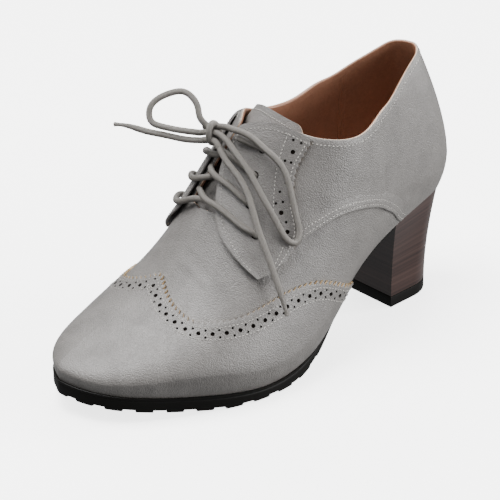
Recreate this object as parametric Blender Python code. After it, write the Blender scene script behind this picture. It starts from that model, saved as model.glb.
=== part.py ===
"""Women's left shoe: an oxford with a wing toe cap, open lacing and a block heel.

Metres, +Z up.  The toe points to -Y, the outer side of the foot is +X, and the floor is z = 0.
Every surface of the upper comes from one function, last_point, which is the outside of the last
plus leather.  It stands on wall lines: each line starts at the feather edge (where upper meets
sole), swells to a belt, and closes over the foot at the ridge.
"""
import bpy
import bmesh
import numpy as np
from mathutils import Vector

MM = 0.001                  # all tables and sizes below are in millimetres
GAP = 0.3                   # clearance between pieces that touch
OVERLAY_GAP = 0.5           # the same under curved overlays, whose facets sag a little
SHIFT_X = 2.58              # moves the middle of the outline to x = 0
SHIFT_S = 121.05            # distance from the heel's back that lies at y = 0
WALL = 1.6                  # upper leather with its lining
OVERLAY = 1.1               # one more layer of leather
INSOLE_THICK = 2.0
INSOLE_CLEAR = 0.4          # insole to upper, all round
TONGUE_THICK = 1.8
TONGUE_CLEAR = 0.7          # tongue to upper, along its edges
TONGUE_SAG = 3.0            # how far the tongue dips below the upper in the middle of the throat
TONGUE_T = 0.60             # its side edges, and its lower and upper end, on the last
TONGUE_LOW_P = 0.675
TONGUE_TOP_P = 0.525
TONGUE_BOW = -0.030         # its top edge runs back towards the sides
HEEL_P = 0.310              # wall line at the heel's breast
HEEL_INSET = -0.6
HEEL_HALF = 17.4            # foot of the heel: half width, and s of its back, middle and breast
HEEL_BACK = 14.6
HEEL_MID = 33.0
HEEL_BREAST = 51.0
HEEL_FLARE = 1.9            # 1 is straight; more keeps the heel slim until near the seat
HEEL_YAW = 4.0              # degrees that the heel's foot turns towards the outer side
SOLE_BACK = 0.3125          # wall line where the outsole meets the heel's breast
LUG_FIRST_P = 0.545         # wall line where the lugs begin
LUG_PITCH = 15.0
LUG_NOTCH = 6.5
LUG_DEEP = 6.0
LUG_HIGH = 1.5
OUTLINE_STEPS = 200         # samples along the sole's edge when its lugs are spaced
LIFT_THICK = 6.5            # black top piece of the heel
LACE_RADIUS = 1.6
LACE_STEP = 5.0             # spacing of the points along a free lace
STRAND_STEP = 3.6           # the same over the facings, where it bends more
EYELET_LIFT = 4.0           # middle of a lace above the last where it leaves an eyelet
HALF_PI = np.pi / 2

# One row for each wall line, from the middle of the heel (p = 0) to the tip of the toe (p = 1).
# pivot: distance of its foot point from the heel's back; turn: direction in degrees (0 back,
# 90 side, 180 toe); out, in: half widths at the feather edge; swell: how far the belt stands
# out past it; rise: height of the belt; lean, tip: how far the tall rear walls lean inward and
# forward; round: 2 is an ellipse, less is more like a roof, more is boxier.
LAST = np.array([
    # p     pivot turn  out   in    swell rise  lean  tip   round
    (0.00,  28.0,   0, 22.6, 22.6,  3.2,  18.5, 17.0, 20.0, 2.00),
    (0.10,  28.0,  36, 21.0, 21.0,  4.0,  18.5, 18.0, 18.5, 2.00),
    (0.20,  33.0,  70, 20.2, 20.2,  3.0,  17.5, 18.0, 13.0, 2.00),
    (0.30,  52.0,  86, 25.0, 25.0,  2.0,  18.0, 13.0,  5.0, 2.00),
    (0.42,  84.0,  90, 31.0, 28.0,  4.4,  18.0,  3.5,  0.0, 1.90),
    (0.54, 118.0,  91, 39.2, 35.2,  4.9,  14.5,  3.4,  0.0, 1.65),
    (0.66, 150.0,  94, 46.2, 42.2,  3.0,  11.0,  2.0,  0.0, 1.50),
    (0.76, 172.0, 101, 44.5, 40.5,  3.0,  12.5,  0.4,  0.0, 2.10),
    (0.86, 186.0, 122, 40.5, 36.5,  2.0,  10.5,  0.0,  0.0, 2.40),
    (0.94, 191.0, 152, 42.5, 40.5,  0.8,   7.5,  0.0,  0.0, 2.40),
    (1.00, 192.0, 180, 45.3, 45.3,  0.6,   7.5,  0.0,  0.0, 2.40),
])
# Top of the foot: s is the distance from the heel's back, z its height, x its side offset.
RIDGE = np.array([
    # s     z      x
    (-10.0, 400.0,   0.0), (40.0, 320.0,   0.0), (70.0, 214.0,  -0.5), (95.0, 153.5,  -3.0),
    (115.0, 127.0,  -9.5), (135.0, 101.0, -12.5), (155.0, 73.0, -10.0), (175.0, 51.0,  -6.0),
    (195.0, 40.0,   -4.2), (215.0, 34.5,  -4.0), (240.0, 29.7,  -4.0),
])
# Middle line of the foot, which swings inward towards the toe.
CENTRE = np.array([
    # s    x
    (0.0, 0.0), (60.0, 0.0), (110.0, -1.6), (160.0, -4.9), (200.0, -12.8), (240.0, -15.3),
])
# Height of the feather edge, and the sole below it: thick is its thickness, welt how far it
# stands out past the upper.
BOTTOM = np.array([
    # s     z     thick welt
    (0.0,   59.8,  3.0, -1.2), (14.0, 59.3,  3.0, -1.2), (28.0, 57.6,  3.0, -1.2),
    (50.0,  54.4,  3.0, -1.2), (68.0, 48.6,  3.0, -1.2), (84.0, 39.2,  3.2, -1.1),
    (101.0, 24.6,  4.0, -0.4), (118.0, 12.4, 6.0,  1.6), (135.0, 7.9,  7.6,  2.5),
    (152.0, 6.8,   8.3,  2.6), (180.0, 8.8,  8.3,  2.6), (207.0, 12.2, 8.3,  2.6),
    (229.0, 16.0,  8.3,  2.6), (240.0, 18.1, 8.3,  2.6),
])


def spline(xs, ys):
    """Natural cubic through the points; returns a function for arrays of x."""
    n = len(xs)
    h = np.diff(xs)
    a = np.zeros((n, n))
    b = np.zeros(n)
    a[0, 0] = a[-1, -1] = 1
    for i in range(1, n - 1):
        a[i, i - 1:i + 2] = h[i - 1], 2 * (h[i - 1] + h[i]), h[i]
        b[i] = 6 * ((ys[i + 1] - ys[i]) / h[i] - (ys[i] - ys[i - 1]) / h[i - 1])
    m = np.linalg.solve(a, b)

    def at(x):
        x = np.clip(np.asarray(x, float), xs[0], xs[-1])
        i = np.clip(np.searchsorted(xs, x) - 1, 0, n - 2)
        left, right, width = x - xs[i], xs[i + 1] - x, h[i]
        return ((m[i] * right ** 3 + m[i + 1] * left ** 3) / (6 * width)
                + (ys[i] / width - m[i] * width / 6) * right
                + (ys[i + 1] / width - m[i + 1] * width / 6) * left)
    return at


def table(rows, key=0):
    """A spline for each column of a table, over its key column."""
    return [spline(rows[:, key], rows[:, i]) for i in range(rows.shape[1]) if i != key]


PIVOT, TURN, OUT, IN, SWELL, RISE, LEAN, TIP, ROUND = table(LAST)
RIDGE_Z, RIDGE_X = table(RIDGE)
CENTRE_X, = table(CENTRE)
EDGE_Z, SOLE, WELT = table(BOTTOM)


def direction(p, side):
    """Unit direction (x, s) in which wall line p faces, seen from above."""
    turn = np.radians(TURN(p))
    return np.stack([side * np.sin(turn), -np.cos(turn)], -1)


def edge(p, side, out=0.0):
    """Point (x, s, z) of the feather edge, moved outward by out."""
    d = direction(p, side)
    r = np.where(side > 0, OUT(p), IN(p)) + out
    x = CENTRE_X(PIVOT(p)) + d[..., 0] * r
    s = PIVOT(p) + d[..., 1] * r
    return np.stack([x, s, EDGE_Z(s)], -1)


def last_point(p, t, side):
    """Point (x, s, z) of the upper's outside: t runs -1 at the edge, 0 at the belt, 1 at the ridge."""
    p, t, side = np.broadcast_arrays(np.asarray(p, float), np.asarray(t, float), side)
    d = direction(p, side)
    foot = edge(p, side)
    belt = np.where(side > 0, OUT(p), IN(p)) + SWELL(p)
    belt_z = foot[..., 2] + RISE(p)
    angle = np.clip(t, 0, 1) * HALF_PI
    close = np.maximum(np.cos(angle), 0) ** (2 / ROUND(p))
    top_z = RIDGE_Z(PIVOT(p) + d[..., 1] * belt * close)
    z = belt_z + (top_z - belt_z) * np.sin(angle)
    high = (np.maximum(z - belt_z, 0) / 100) ** 1.5
    r = (belt - LEAN(p) * high) * close
    low = np.clip(-t, 0, 1)
    r = np.where(t < 0, belt - SWELL(p) * low ** 2, r)
    z = np.where(t < 0, belt_z - RISE(p) * low, z)
    s = PIVOT(p) + d[..., 1] * r + TIP(p) * high
    x = CENTRE_X(PIVOT(p)) + d[..., 0] * r + RIDGE_X(s) * np.sin(angle)
    return np.stack([x, s, z], -1)


def on_upper(p, t, side, lift):
    """Point (x, s, z) at a distance from the last, along its normal."""
    step = 0.004
    t = np.minimum(t, 1 - step)
    q = last_point(p, t, side)
    a = last_point(p + step, t, side) - last_point(p - step, t, side)
    b = last_point(p, t + step, side) - last_point(p, t - step, side)
    n = np.cross(a, b)
    n *= np.sign(n[..., 0] * side + n[..., 2] * 0.5)[..., None]
    return q + n / np.linalg.norm(n, axis=-1)[..., None] * np.asarray(lift)[..., None]


# Edge of the upper, as (p, t): the collar from the heel to its front corner, then down the
# throat beside the ridge, and across it.
TOP_LINE = np.array([
    # p     t
    (0.00, 0.124), (0.08, 0.127), (0.15, 0.136), (0.21, 0.145), (0.25, 0.144), (0.29, 0.153),
    (0.32, 0.169),
    (0.35, 0.199), (0.38, 0.234), (0.41, 0.288), (0.44, 0.369), (0.47, 0.470), (0.49, 0.548),
    (0.512, 0.66), (0.537, 0.82), (0.555, 0.925), (0.590, 0.90), (0.612, 0.86), (0.628, 0.80),
    (0.640, 0.78), (0.648, 0.80), (0.655, 0.90), (0.660, 1.00),
])
# Upper edge of the wing cap: p for each t, from the waist round its lobe to the peak.
WING_LINE = np.array([
    # t     p
    (-1.0, 0.435), (-0.5, 0.460), (0.0, 0.485), (0.155, 0.545), (0.23, 0.602), (0.30, 0.670),
    (0.40, 0.727), (0.50, 0.760), (0.63, 0.779), (0.74, 0.787), (0.82, 0.788), (0.91, 0.783),
    (1.00, 0.775),
])
# Facing: its front edge and its rear edge as (p, t), from the collar (v = 0) to the tip (v = 1).
FACING_EDGES = np.array([
    # v     p_front t_front p_rear t_rear
    (0.00, 0.558, 0.950, 0.490, 0.540), (0.15, 0.585, 0.935, 0.507, 0.530),
    (0.30, 0.607, 0.900, 0.524, 0.515), (0.45, 0.627, 0.840, 0.537, 0.470),
    (0.60, 0.646, 0.770, 0.545, 0.405), (0.72, 0.657, 0.700, 0.548, 0.350),
    (0.82, 0.658, 0.600, 0.562, 0.325), (0.91, 0.652, 0.490, 0.590, 0.325),
    (1.00, 0.640, 0.385, 0.613, 0.340),
])
# Eyelets, top to bottom, as (p, t).
EYELETS = np.array([(0.552, 0.715), (0.577, 0.672), (0.600, 0.610), (0.612, 0.505)])
FACING_LIFT = 1.4           # how far the front edge of a facing stands off the vamp
THROAT_GAP = 0.10           # how much lower the inner facing ends beside the ridge, as t

top_line, = table(TOP_LINE)
wing_line, = table(WING_LINE)
P_FRONT, T_FRONT, P_REAR, T_REAR = table(FACING_EDGES)


def world(points):
    """World position in metres of (x, s, z) in millimetres."""
    x, s, z = np.moveaxis(np.asarray(points, float), -1, 0)
    return np.stack([x + SHIFT_X, SHIFT_S - s, z], -1) * MM


def material(name, colour, roughness, metallic=0.0):
    """A Principled material."""
    mat = bpy.data.materials.new(name)
    mat.use_nodes = True
    shader = mat.node_tree.nodes["Principled BSDF"]
    shader.inputs["Base Color"].default_value = (*colour, 1)
    shader.inputs["Roughness"].default_value = roughness
    shader.inputs["Metallic"].default_value = metallic
    mat.diffuse_color = (*colour, 1)
    return mat


def mesh_object(name, points, faces, mat):
    """A named object from world points and faces, wound so that its volume is positive."""
    mesh = bpy.data.meshes.new(name)
    mesh.from_pydata([tuple(q) for q in points], [], [tuple(f) for f in faces])
    bm = bmesh.new()
    bm.from_mesh(mesh)
    bmesh.ops.triangulate(bm, faces=bm.faces)
    if bm.calc_volume(signed=True) < 0:
        bmesh.ops.reverse_faces(bm, faces=bm.faces)
    bm.to_mesh(mesh)
    bm.free()
    mesh.materials.append(mat)
    mesh.shade_smooth()
    mesh.set_sharp_from_angle(angle=np.radians(40))
    obj = bpy.data.objects.new(name, mesh)
    bpy.context.scene.collection.objects.link(obj)
    return obj


def grid_faces(rows, cols):
    """Quads of a grid whose points are numbered row by row."""
    i, j = np.meshgrid(np.arange(rows - 1), np.arange(cols - 1), indexing="ij")
    a = (i * cols + j).ravel()
    return np.stack([a, a + 1, a + cols + 1, a + cols], -1)


def weld(points, faces):
    """Joins points that coincide and drops faces that this leaves without an area."""
    keys, first, index = np.unique(np.round(points, 7), axis=0, return_index=True, return_inverse=True)
    kept = []
    for face in index.reshape(-1)[faces]:
        loop = [v for k, v in enumerate(face) if v != face[k - 1]]
        if len(set(loop)) > 2:
            kept.append(loop)
    return points[first], kept, first


def normals(points, faces):
    """Outward unit normal at each point of an open surface."""
    total = np.zeros_like(points)
    for loop in faces:
        for k in range(1, len(loop) - 1):
            tri = [loop[0], loop[k], loop[k + 1]]
            a, b, c = points[tri]
            total[tri] += np.cross(b - a, c - a)
    return total / np.linalg.norm(total, axis=1)[:, None]


def open_edges(faces):
    """Edges that only one face uses, in that face's direction."""
    used = {}
    for loop in faces:
        for k, v in enumerate(loop):
            used[(loop[k - 1], v)] = True
    return [edge_ for edge_ in used if (edge_[1], edge_[0]) not in used]


def solid_sheet(name, p, t, sides, outside, inside, mat, level_foot=False):
    """A solid sheet over a (p, t) grid of the last, between two distances from its surface.

    With level_foot its first row lies flat on the feather edge.
    """
    outside, inside = (np.broadcast_to(v, p.shape) for v in (outside, inside))
    points, faces, details = [], [], []
    for side in sides:
        quads = grid_faces(*p.shape)
        faces.append((quads if side > 0 else quads[:, ::-1]) + len(points) * p.size)
        points.append(world(last_point(p, t, side)).reshape(-1, 3))
        details.append(np.column_stack([outside.ravel(), inside.ravel(), np.arange(p.size) < p.shape[1],
                                        world(edge(p, side, outside)).reshape(-1, 3),
                                        world(edge(p, side, inside)).reshape(-1, 3)]))
    points, faces, first = weld(np.concatenate(points), np.concatenate(faces))
    details = np.concatenate(details)[first]
    out, inn, foot = details[:, :3].T
    n = normals(points, faces)
    if np.sum(n * (points - points.mean(0))) < 0:
        n, faces = -n, [loop[::-1] for loop in faces]
    outer = points + n * out[:, None] * MM
    inner = points + n * inn[:, None] * MM
    if level_foot:
        outer = np.where(foot[:, None] > 0, details[:, 3:6], outer)
        inner = np.where(foot[:, None] > 0, details[:, 6:9], inner)
    count = len(points)
    rim = [(b, a, a + count, b + count) for a, b in open_edges(faces)]
    back = [[v + count for v in loop[::-1]] for loop in faces]
    return mesh_object(name, np.concatenate([outer, inner]), faces + back + rim, mat)


def upper(mat):
    """The whole upper as one hollow sheet, open at the collar, the throat and underneath."""
    p = np.concatenate([np.linspace(0, 0.2, 9), np.linspace(0.225, 0.3, 4), np.linspace(0.33, 0.60, 10),
                        [0.616, 0.628, 0.64, 0.648, 0.655, 0.66], np.linspace(0.69, 0.86, 7),
                        np.linspace(0.88, 1.0, 7)])
    low = np.linspace(-1, 0, 5)[:-1, None] + 0 * p
    high = np.linspace(0, 1, 10)[:, None] * np.minimum(top_line(np.minimum(p, TOP_LINE[-1, 0])), 1)
    t = np.concatenate([low, high])
    return solid_sheet("upper", p + 0 * t, t, (1, -1), 0, -WALL, mat, level_foot=True)


def wing_cap(mat):
    """Perforated cap over the toe, whose wings reach back to the waist."""
    t = np.concatenate([np.linspace(-1, 0, 4)[:-1], np.linspace(0, 1, 13)])[:, None]
    w = np.linspace(0, 1, 20)
    start = wing_line(t)
    p = start + (1 - start) * w
    return solid_sheet("wing_cap", p, t + 0 * p, (1, -1), OVERLAY_GAP + OVERLAY, OVERLAY_GAP, mat,
                       level_foot=True)


def facing(name, side, mat):
    """Leather facing that carries the eyelets; its front edge stands off the vamp."""
    v = np.linspace(0, 1, 15)[:, None]
    w = np.linspace(0, 1, 7)
    p = P_FRONT(v) + (P_REAR(v) - P_FRONT(v)) * w
    front = T_FRONT(v) - (THROAT_GAP * np.maximum(1 - v / 0.6, 0) if side < 0 else 0)
    t = front + (T_REAR(v) - front) * w
    lift = OVERLAY_GAP + FACING_LIFT * (1 - w) ** 2 + 0 * p
    return solid_sheet(name, p, t, (side,), lift + OVERLAY, lift, mat)


def tongue(mat):
    """Tongue below the throat, an arch from side to side, from under the vamp to above the collar."""
    w = np.linspace(-1, 1, 13)[:, None]
    v = np.linspace(0, 1, 12)
    p = TONGUE_LOW_P + (TONGUE_TOP_P + TONGUE_BOW * w ** 2 - TONGUE_LOW_P) * v
    layers = []
    for depth in (TONGUE_CLEAR + WALL, TONGUE_CLEAR + WALL + TONGUE_THICK):
        near = on_upper(p, TONGUE_T, 1, -depth)
        far = on_upper(p, TONGUE_T, -1, -depth)
        crown = (on_upper(p, 1.0, 1, -depth - TONGUE_SAG) + on_upper(p, 1.0, -1, -depth - TONGUE_SAG)) / 2
        middle = (near + far) / 2
        w3 = w[..., None]
        layers.append(world(crown + (near - far) / 2 * w3 + (middle - crown) * np.abs(w3) ** 1.8))
    return plate("tongue", *layers, mat)


def plate(name, top, bottom, mat):
    """A closed solid between two grids of points of the same size."""
    rows, cols, _ = top.shape
    faces = grid_faces(rows, cols)
    count = rows * cols
    rim = [(b, a, a + count, b + count) for a, b in open_edges([list(f) for f in faces])]
    points = np.concatenate([top.reshape(-1, 3), bottom.reshape(-1, 3)])
    return mesh_object(name, points, [*faces, *(faces[:, ::-1] + count), *rim], mat)


def slab(name, p, inset, top, bottom, mat):
    """A solid plate across the last's outline, between two height functions of s."""
    rows = []
    for z in (top, bottom):
        for side in (1, -1):
            s = edge(p, side)[..., 1]
            q = edge(p, side, inset(s))
            q[..., 2] = z(q[..., 1])
            rows.append(world(q))
    n = len(p)
    i = np.arange(n - 1)
    a, b, c, d = i, i + n, i + 2 * n, i + 3 * n     # top near, top far, bottom near, bottom far
    faces = np.concatenate([np.stack([a, a + 1, b + 1, b], -1), np.stack([c, d, d + 1, c + 1], -1),
                            np.stack([a, c, c + 1, a + 1], -1), np.stack([b, b + 1, d + 1, d], -1),
                            [[0, n, 3 * n, 2 * n]]])
    points, faces, _ = weld(np.concatenate(rows), faces)
    return mesh_object(name, points, faces, mat)


def outsole(mat):
    """Rubber outsole from the toe to the heel's breast, with notches between its lugs."""
    p = np.concatenate([np.linspace(SOLE_BACK, 0.60, 12), np.linspace(0.63, 0.86, 9),
                        np.linspace(0.88, 1.0, 8)])
    top = lambda s: EDGE_Z(s) - GAP
    bottom = lambda s: np.maximum(EDGE_Z(s) - SOLE(s), 0)
    obj = slab("outsole", p, WELT, top, bottom, mat)
    cutter = lug_cutter(bottom, mat)
    cut = obj.modifiers.new("lug notches", "BOOLEAN")
    cut.operation = "DIFFERENCE"
    cut.object = cutter
    return obj


# Faces of a box whose corners are numbered round its bottom and then round its top.
BOX_FACES = np.array([(0, 3, 2, 1), (4, 5, 6, 7), (0, 1, 5, 4), (1, 2, 6, 5), (2, 3, 7, 6), (3, 0, 4, 7)])


def lug_cutter(bottom, mat):
    """Boxes along the forefoot's edge, one for each notch."""
    points, faces = [], []
    for side in (1, -1):
        p = np.linspace(LUG_FIRST_P, 1, OUTLINE_STEPS)
        q = edge(p, side, WELT(edge(p, side)[..., 1]))
        run = np.concatenate([[0], np.cumsum(np.linalg.norm(np.diff(q[:, :2], axis=0), axis=1))])
        for at in run[-1] - np.arange(LUG_PITCH / 2, run[-1], LUG_PITCH):
            k = np.searchsorted(run, at)
            along = q[min(k + 2, OUTLINE_STEPS - 1), :2] - q[k - 2, :2]
            along /= np.linalg.norm(along)
            across = np.array([-along[1], along[0]])
            corners = [q[k, :2] + along * LUG_NOTCH / 2 * i + across * LUG_DEEP * j
                       for i, j in ((-1, -1), (1, -1), (1, 1), (-1, 1))]
            z = bottom(q[k, 1])
            box = [(*c, z + h) for h in (-LUG_HIGH * 2, LUG_HIGH) for c in corners]
            faces.append(BOX_FACES + 8 * len(points))
            points.append(world(box))
    obj = mesh_object("lug_cutter", np.concatenate(points), np.concatenate(faces), mat)
    obj.hide_render = True
    obj.display_type = "WIRE"
    return obj


def insole(mat):
    """Lining board inside the upper, resting on the outsole and the heel."""
    p = np.concatenate([np.linspace(0, 0.2, 7), np.linspace(0.25, 0.86, 15), np.linspace(0.9, 1, 4)])
    top = lambda s: EDGE_Z(s) + INSOLE_THICK
    inset = lambda s: -WALL - INSOLE_CLEAR + 0 * s
    return slab("insole", p, inset, top, EDGE_Z, mat)


def heel(mat, lift_mat):
    """Block heel: lofted from the seat of the upper down to its small rubber lift."""
    u = np.linspace(0, 1, 13)
    side_u = 0.55                                   # where the curved back meets the straight side
    arc = np.clip(u / side_u, 0, 1) * HALF_PI
    foot_x = HEEL_HALF * np.sin(arc)
    foot_s = np.where(u < side_u, HEEL_MID - (HEEL_MID - HEEL_BACK) * np.cos(arc),
                      HEEL_MID + (u - side_u) / (1 - side_u) * (HEEL_BREAST - HEEL_MID))

    def ring(h):
        """Outline at height share h (0 foot, 1 seat), near side front to back, then far side."""
        loops = []
        for side in (1, -1):
            seat = edge(u * HEEL_P, side, HEEL_INSET)
            flare = h ** HEEL_FLARE
            yaw = np.radians(HEEL_YAW)
            x, s = side * foot_x, foot_s - HEEL_MID
            x, s = x * np.cos(yaw) + s * np.sin(yaw), HEEL_MID + s * np.cos(yaw) - x * np.sin(yaw)
            xy = np.stack([x, s], -1) * (1 - flare) + seat[:, :2] * flare
            z = LIFT_THICK + GAP + (seat[:, 2] - GAP - LIFT_THICK - GAP) * h
            loops.append(np.column_stack([xy, z]))
        return np.concatenate([loops[0][::-1], loops[1][1:]])

    heights = (0, 0.12, 0.28, 0.45, 0.62, 0.8, 1)
    rings = np.array([world(ring(h)) for h in heights])
    base = rings[0].copy()
    base[:, 2] = 0
    rim = rings[0].copy()
    rim[:, 2] = LIFT_THICK * MM
    return loft("heel_block", rings, mat), loft("heel_lift", np.array([base, rim]), lift_mat)


def loft(name, rings, mat):
    """A closed solid through rings of points, capped across by pairs from each side."""
    levels, count, _ = rings.shape
    faces = []
    for k in range(levels - 1):
        low, high = k * count, (k + 1) * count
        for i in range(count):
            j = (i + 1) % count
            faces.append((low + i, low + j, high + j, high + i))
    for k in (0, levels - 1):
        start = k * count
        for i in range(count // 2):
            j = count - 1 - i
            loop = [start + i, start + i + 1, start + j - 1, start + j]
            loop = list(dict.fromkeys(loop))
            if len(loop) > 2:
                faces.append(loop[::-1] if k == 0 else loop)
    points = rings.reshape(-1, 3)
    return mesh_object(name, points, faces, mat)


def smooth_route(points, spacing):
    """Evenly spaced points along the smooth curve through a route's own points."""
    points = np.asarray(points, float)
    run = np.concatenate([[0], np.cumsum(np.linalg.norm(np.diff(points, axis=0), axis=1))])
    count = max(int(run[-1] / spacing), 3)
    at = np.linspace(0, run[-1], count * 8)
    dense = np.stack([spline(run, points[:, i])(at) for i in range(3)], -1)
    run = np.concatenate([[0], np.cumsum(np.linalg.norm(np.diff(dense, axis=0), axis=1))])
    even = np.linspace(0, run[-1], count + 1)
    return np.stack([np.interp(even, run, dense[:, i]) for i in range(3)], -1)


def cord(name, points, mat):
    """A round lace along a route of (x, s, z) points."""
    curve = bpy.data.curves.new(name, "CURVE")
    curve.dimensions = "3D"
    curve.bevel_depth = LACE_RADIUS * MM
    curve.bevel_resolution = 2
    curve.use_fill_caps = True
    route = world(smooth_route(points, LACE_STEP))
    line = curve.splines.new("POLY")
    line.points.add(len(route) - 1)
    for point, q in zip(line.points, route):
        point.co = (*q, 1)
    curve.materials.append(mat)
    obj = bpy.data.objects.new(name, curve)
    bpy.context.scene.collection.objects.link(obj)
    return obj


def tube(name, points, mat, sides=8):
    """The same lace as a closed mesh, for pieces that are joined where they cross."""
    route = world(smooth_route(points, STRAND_STEP))
    along = np.gradient(route, axis=0)
    along /= np.linalg.norm(along, axis=1)[:, None]
    up = np.cross(along, (0, -1, 0.3))
    up /= np.linalg.norm(up, axis=1)[:, None]
    over = np.cross(along, up)
    angle = np.arange(sides)[:, None, None] * 2 * np.pi / sides
    rings = route + LACE_RADIUS * MM * (np.cos(angle) * up + np.sin(angle) * over)
    return loft(name, np.moveaxis(rings, 0, 1), mat)


# Lace over each facing, from its eyelet across the throat, as (p, t, side, lift) where side is
# 1 on the outer half of the shoe and -1 on the inner half.  Rows run from the top down.
STRANDS = {
    1: [[(0.560, 0.79, 1, 4.9), (0.567, 0.87, 1, 6.2)],
        [(0.562, 0.78, -1, 5.1), (0.570, 0.86, -1, 6.4)]],
    2: [[(0.583, 0.77, 1, 4.5), (0.588, 0.87, 1, 5.1), (0.590, 0.97, 1, 4.4), (0.589, 0.92, -1, 2.0)],
        [(0.588, 0.76, -1, 4.8), (0.594, 0.84, -1, 5.1), (0.597, 0.96, -1, 3.6), (0.594, 0.97, 1, 2.4)]],
    3: [[(0.605, 0.68, 1, 4.4), (0.610, 0.775, 1, 4.8), (0.615, 0.888, 1, 5.1), (0.614, 0.99, 1, 3.6),
         (0.609, 0.90, -1, 1.0)],
        [(0.615, 0.71, -1, 4.8), (0.624, 0.80, -1, 5.1), (0.625, 0.92, -1, 3.6), (0.622, 0.99, 1, 2.4),
         (0.618, 0.94, 1, 1.6)]],
    4: [[(0.622, 0.575, 1, 4.5), (0.630, 0.667, 1, 4.9), (0.638, 0.790, 1, 5.1), (0.643, 0.90, 1, 3.9),
         (0.642, 0.99, 1, 2.8), (0.636, 0.87, -1, 1.0)],
        [(0.634, 0.61, -1, 4.9), (0.648, 0.70, -1, 5.1), (0.652, 0.82, -1, 4.0), (0.650, 0.95, -1, 2.9),
         (0.647, 0.94, 1, 1.9), (0.642, 0.85, 1, 1.4)]],
}


def strand(number, side):
    """Route of one strand as (x, s, z) points, from its eyelet on."""
    start = (*EYELETS[number - 1], side, EYELET_LIFT)
    rows = STRANDS[number][0 if side > 0 else 1]
    return np.array([on_upper(p, t, over, lift) for p, t, over, lift in [start, *rows]])


def crossing(number, mat):
    """The two strands of one row, joined where they cross in the throat."""
    near = tube(f"lace_cross_{number}", strand(number, 1), mat)
    far = tube(f"lace_far_half_{number}", strand(number, -1), mat)
    join = near.modifiers.new("far strand", "BOOLEAN")
    join.operation = "UNION"
    join.object = far
    far.hide_render = True
    far.display_type = "WIRE"
    return near


# Free parts of the lace, as (x, s, z): a bow with one loop standing out over the inner side,
# one lying on the outer facing, and two ends.
KNOT_CENTRE = (-15.5, 134.0, 116.0)
KNOT_SIZE = (7.5, 6.0, 5.5)
BOW = {
    "lace_loop_inner": [(-22.2, 136.9, 118.0), (-25.5, 139.0, 122.6), (-27.2, 138.6, 126.5),
                        (-31.1, 139.3, 131.5), (-34.4, 141.6, 133.8), (-38.1, 146.5, 133.4),
                        (-40.9, 151.9, 131.3), (-42.1, 156.3, 127.9), (-41.3, 158.2, 124.3),
                        (-39.4, 158.5, 121.2), (-35.4, 155.4, 118.9), (-28.4, 148.2, 116.9),
                        (-22.4, 140.6, 115.4)],
    "lace_end_inner": [(-19.5, 139.1, 111.9), (-26.5, 147.4, 112.5), (-33.5, 154.3, 114.4),
                       (-39.8, 161.6, 116.6), (-46.9, 168.7, 119.4), (-50.3, 173.0, 120.2)],
    "lace_loop_outer": [(-8.0, 131.4, 119.3), (0.5, 128.5, 118.0), (8.5, 126.0, 113.5), (17.0, 122.5, 106.5),
                        (23.5, 122.0, 95.0), (29.5, 122.8, 81.0), (32.4, 124.3, 74.0),
                        (33.0, 127.0, 71.5), (31.5, 129.5, 72.5), (29.0, 131.3, 76.0),
                        (25.5, 132.3, 81.5), (17.5, 134.5, 93.0), (8.0, 135.5, 104.0),
                        (-1.5, 136.5, 111.5), (-7.9, 135.9, 114.8)],
    "lace_end_outer": [(-11.2, 139.1, 112.5), (-3.5, 140.5, 107.5), (4.0, 140.0, 102.5), (13.5, 140.0, 93.5),
                       (20.5, 141.5, 83.5), (26.5, 142.3, 75.0), (32.2, 142.5, 66.5),
                       (37.4, 142.8, 58.2), (42.4, 143.0, 49.4), (45.6, 143.0, 42.5)],
}


def knot(mat):
    """Bow knot as one rounded lump."""
    bm = bmesh.new()
    bmesh.ops.create_uvsphere(bm, u_segments=12, v_segments=8, radius=1)
    bmesh.ops.scale(bm, vec=Vector(KNOT_SIZE) * MM, verts=bm.verts)
    bmesh.ops.translate(bm, vec=Vector(world(KNOT_CENTRE)), verts=bm.verts)
    mesh = bpy.data.meshes.new("lace_knot")
    bm.to_mesh(mesh)
    bm.free()
    mesh.materials.append(mat)
    mesh.shade_smooth()
    obj = bpy.data.objects.new("lace_knot", mesh)
    bpy.context.scene.collection.objects.link(obj)
    return obj


for old in list(bpy.data.objects):
    bpy.data.objects.remove(old)

LEATHER = material("grey_leather", (0.35, 0.34, 0.33), 0.5)
LINING = material("brown_lining", (0.13, 0.06, 0.03), 0.7)
RUBBER = material("black_rubber", (0.012, 0.011, 0.010), 0.45)
STACK = material("dark_stacked_heel", (0.06, 0.035, 0.03), 0.4)
LACE = material("grey_lace", (0.42, 0.41, 0.39), 0.6)

upper(LEATHER)
wing_cap(LEATHER)
facing("facing_outer", 1, LEATHER)
facing("facing_inner", -1, LEATHER)
tongue(LEATHER)
insole(LINING)
outsole(RUBBER)
heel(STACK, RUBBER)
for number in (2, 3, 4):
    crossing(number, LACE)
tube("lace_top_outer", strand(1, 1), LACE)
tube("lace_top_inner", strand(1, -1), LACE)
knot(LACE)
for name, points in BOW.items():
    cord(name, points, LACE)
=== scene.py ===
"""A woman's left oxford shoe in grey leather, with a pinked wing cap and a stacked block heel.

Metres, +Z up, toe to -Y, outer side to +X.  Lasting sizes are millimetres, as a shoemaker notes
them, and become metres where a mesh is made.
"""
import bpy
import numpy as np
from mathutils import Matrix

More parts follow.
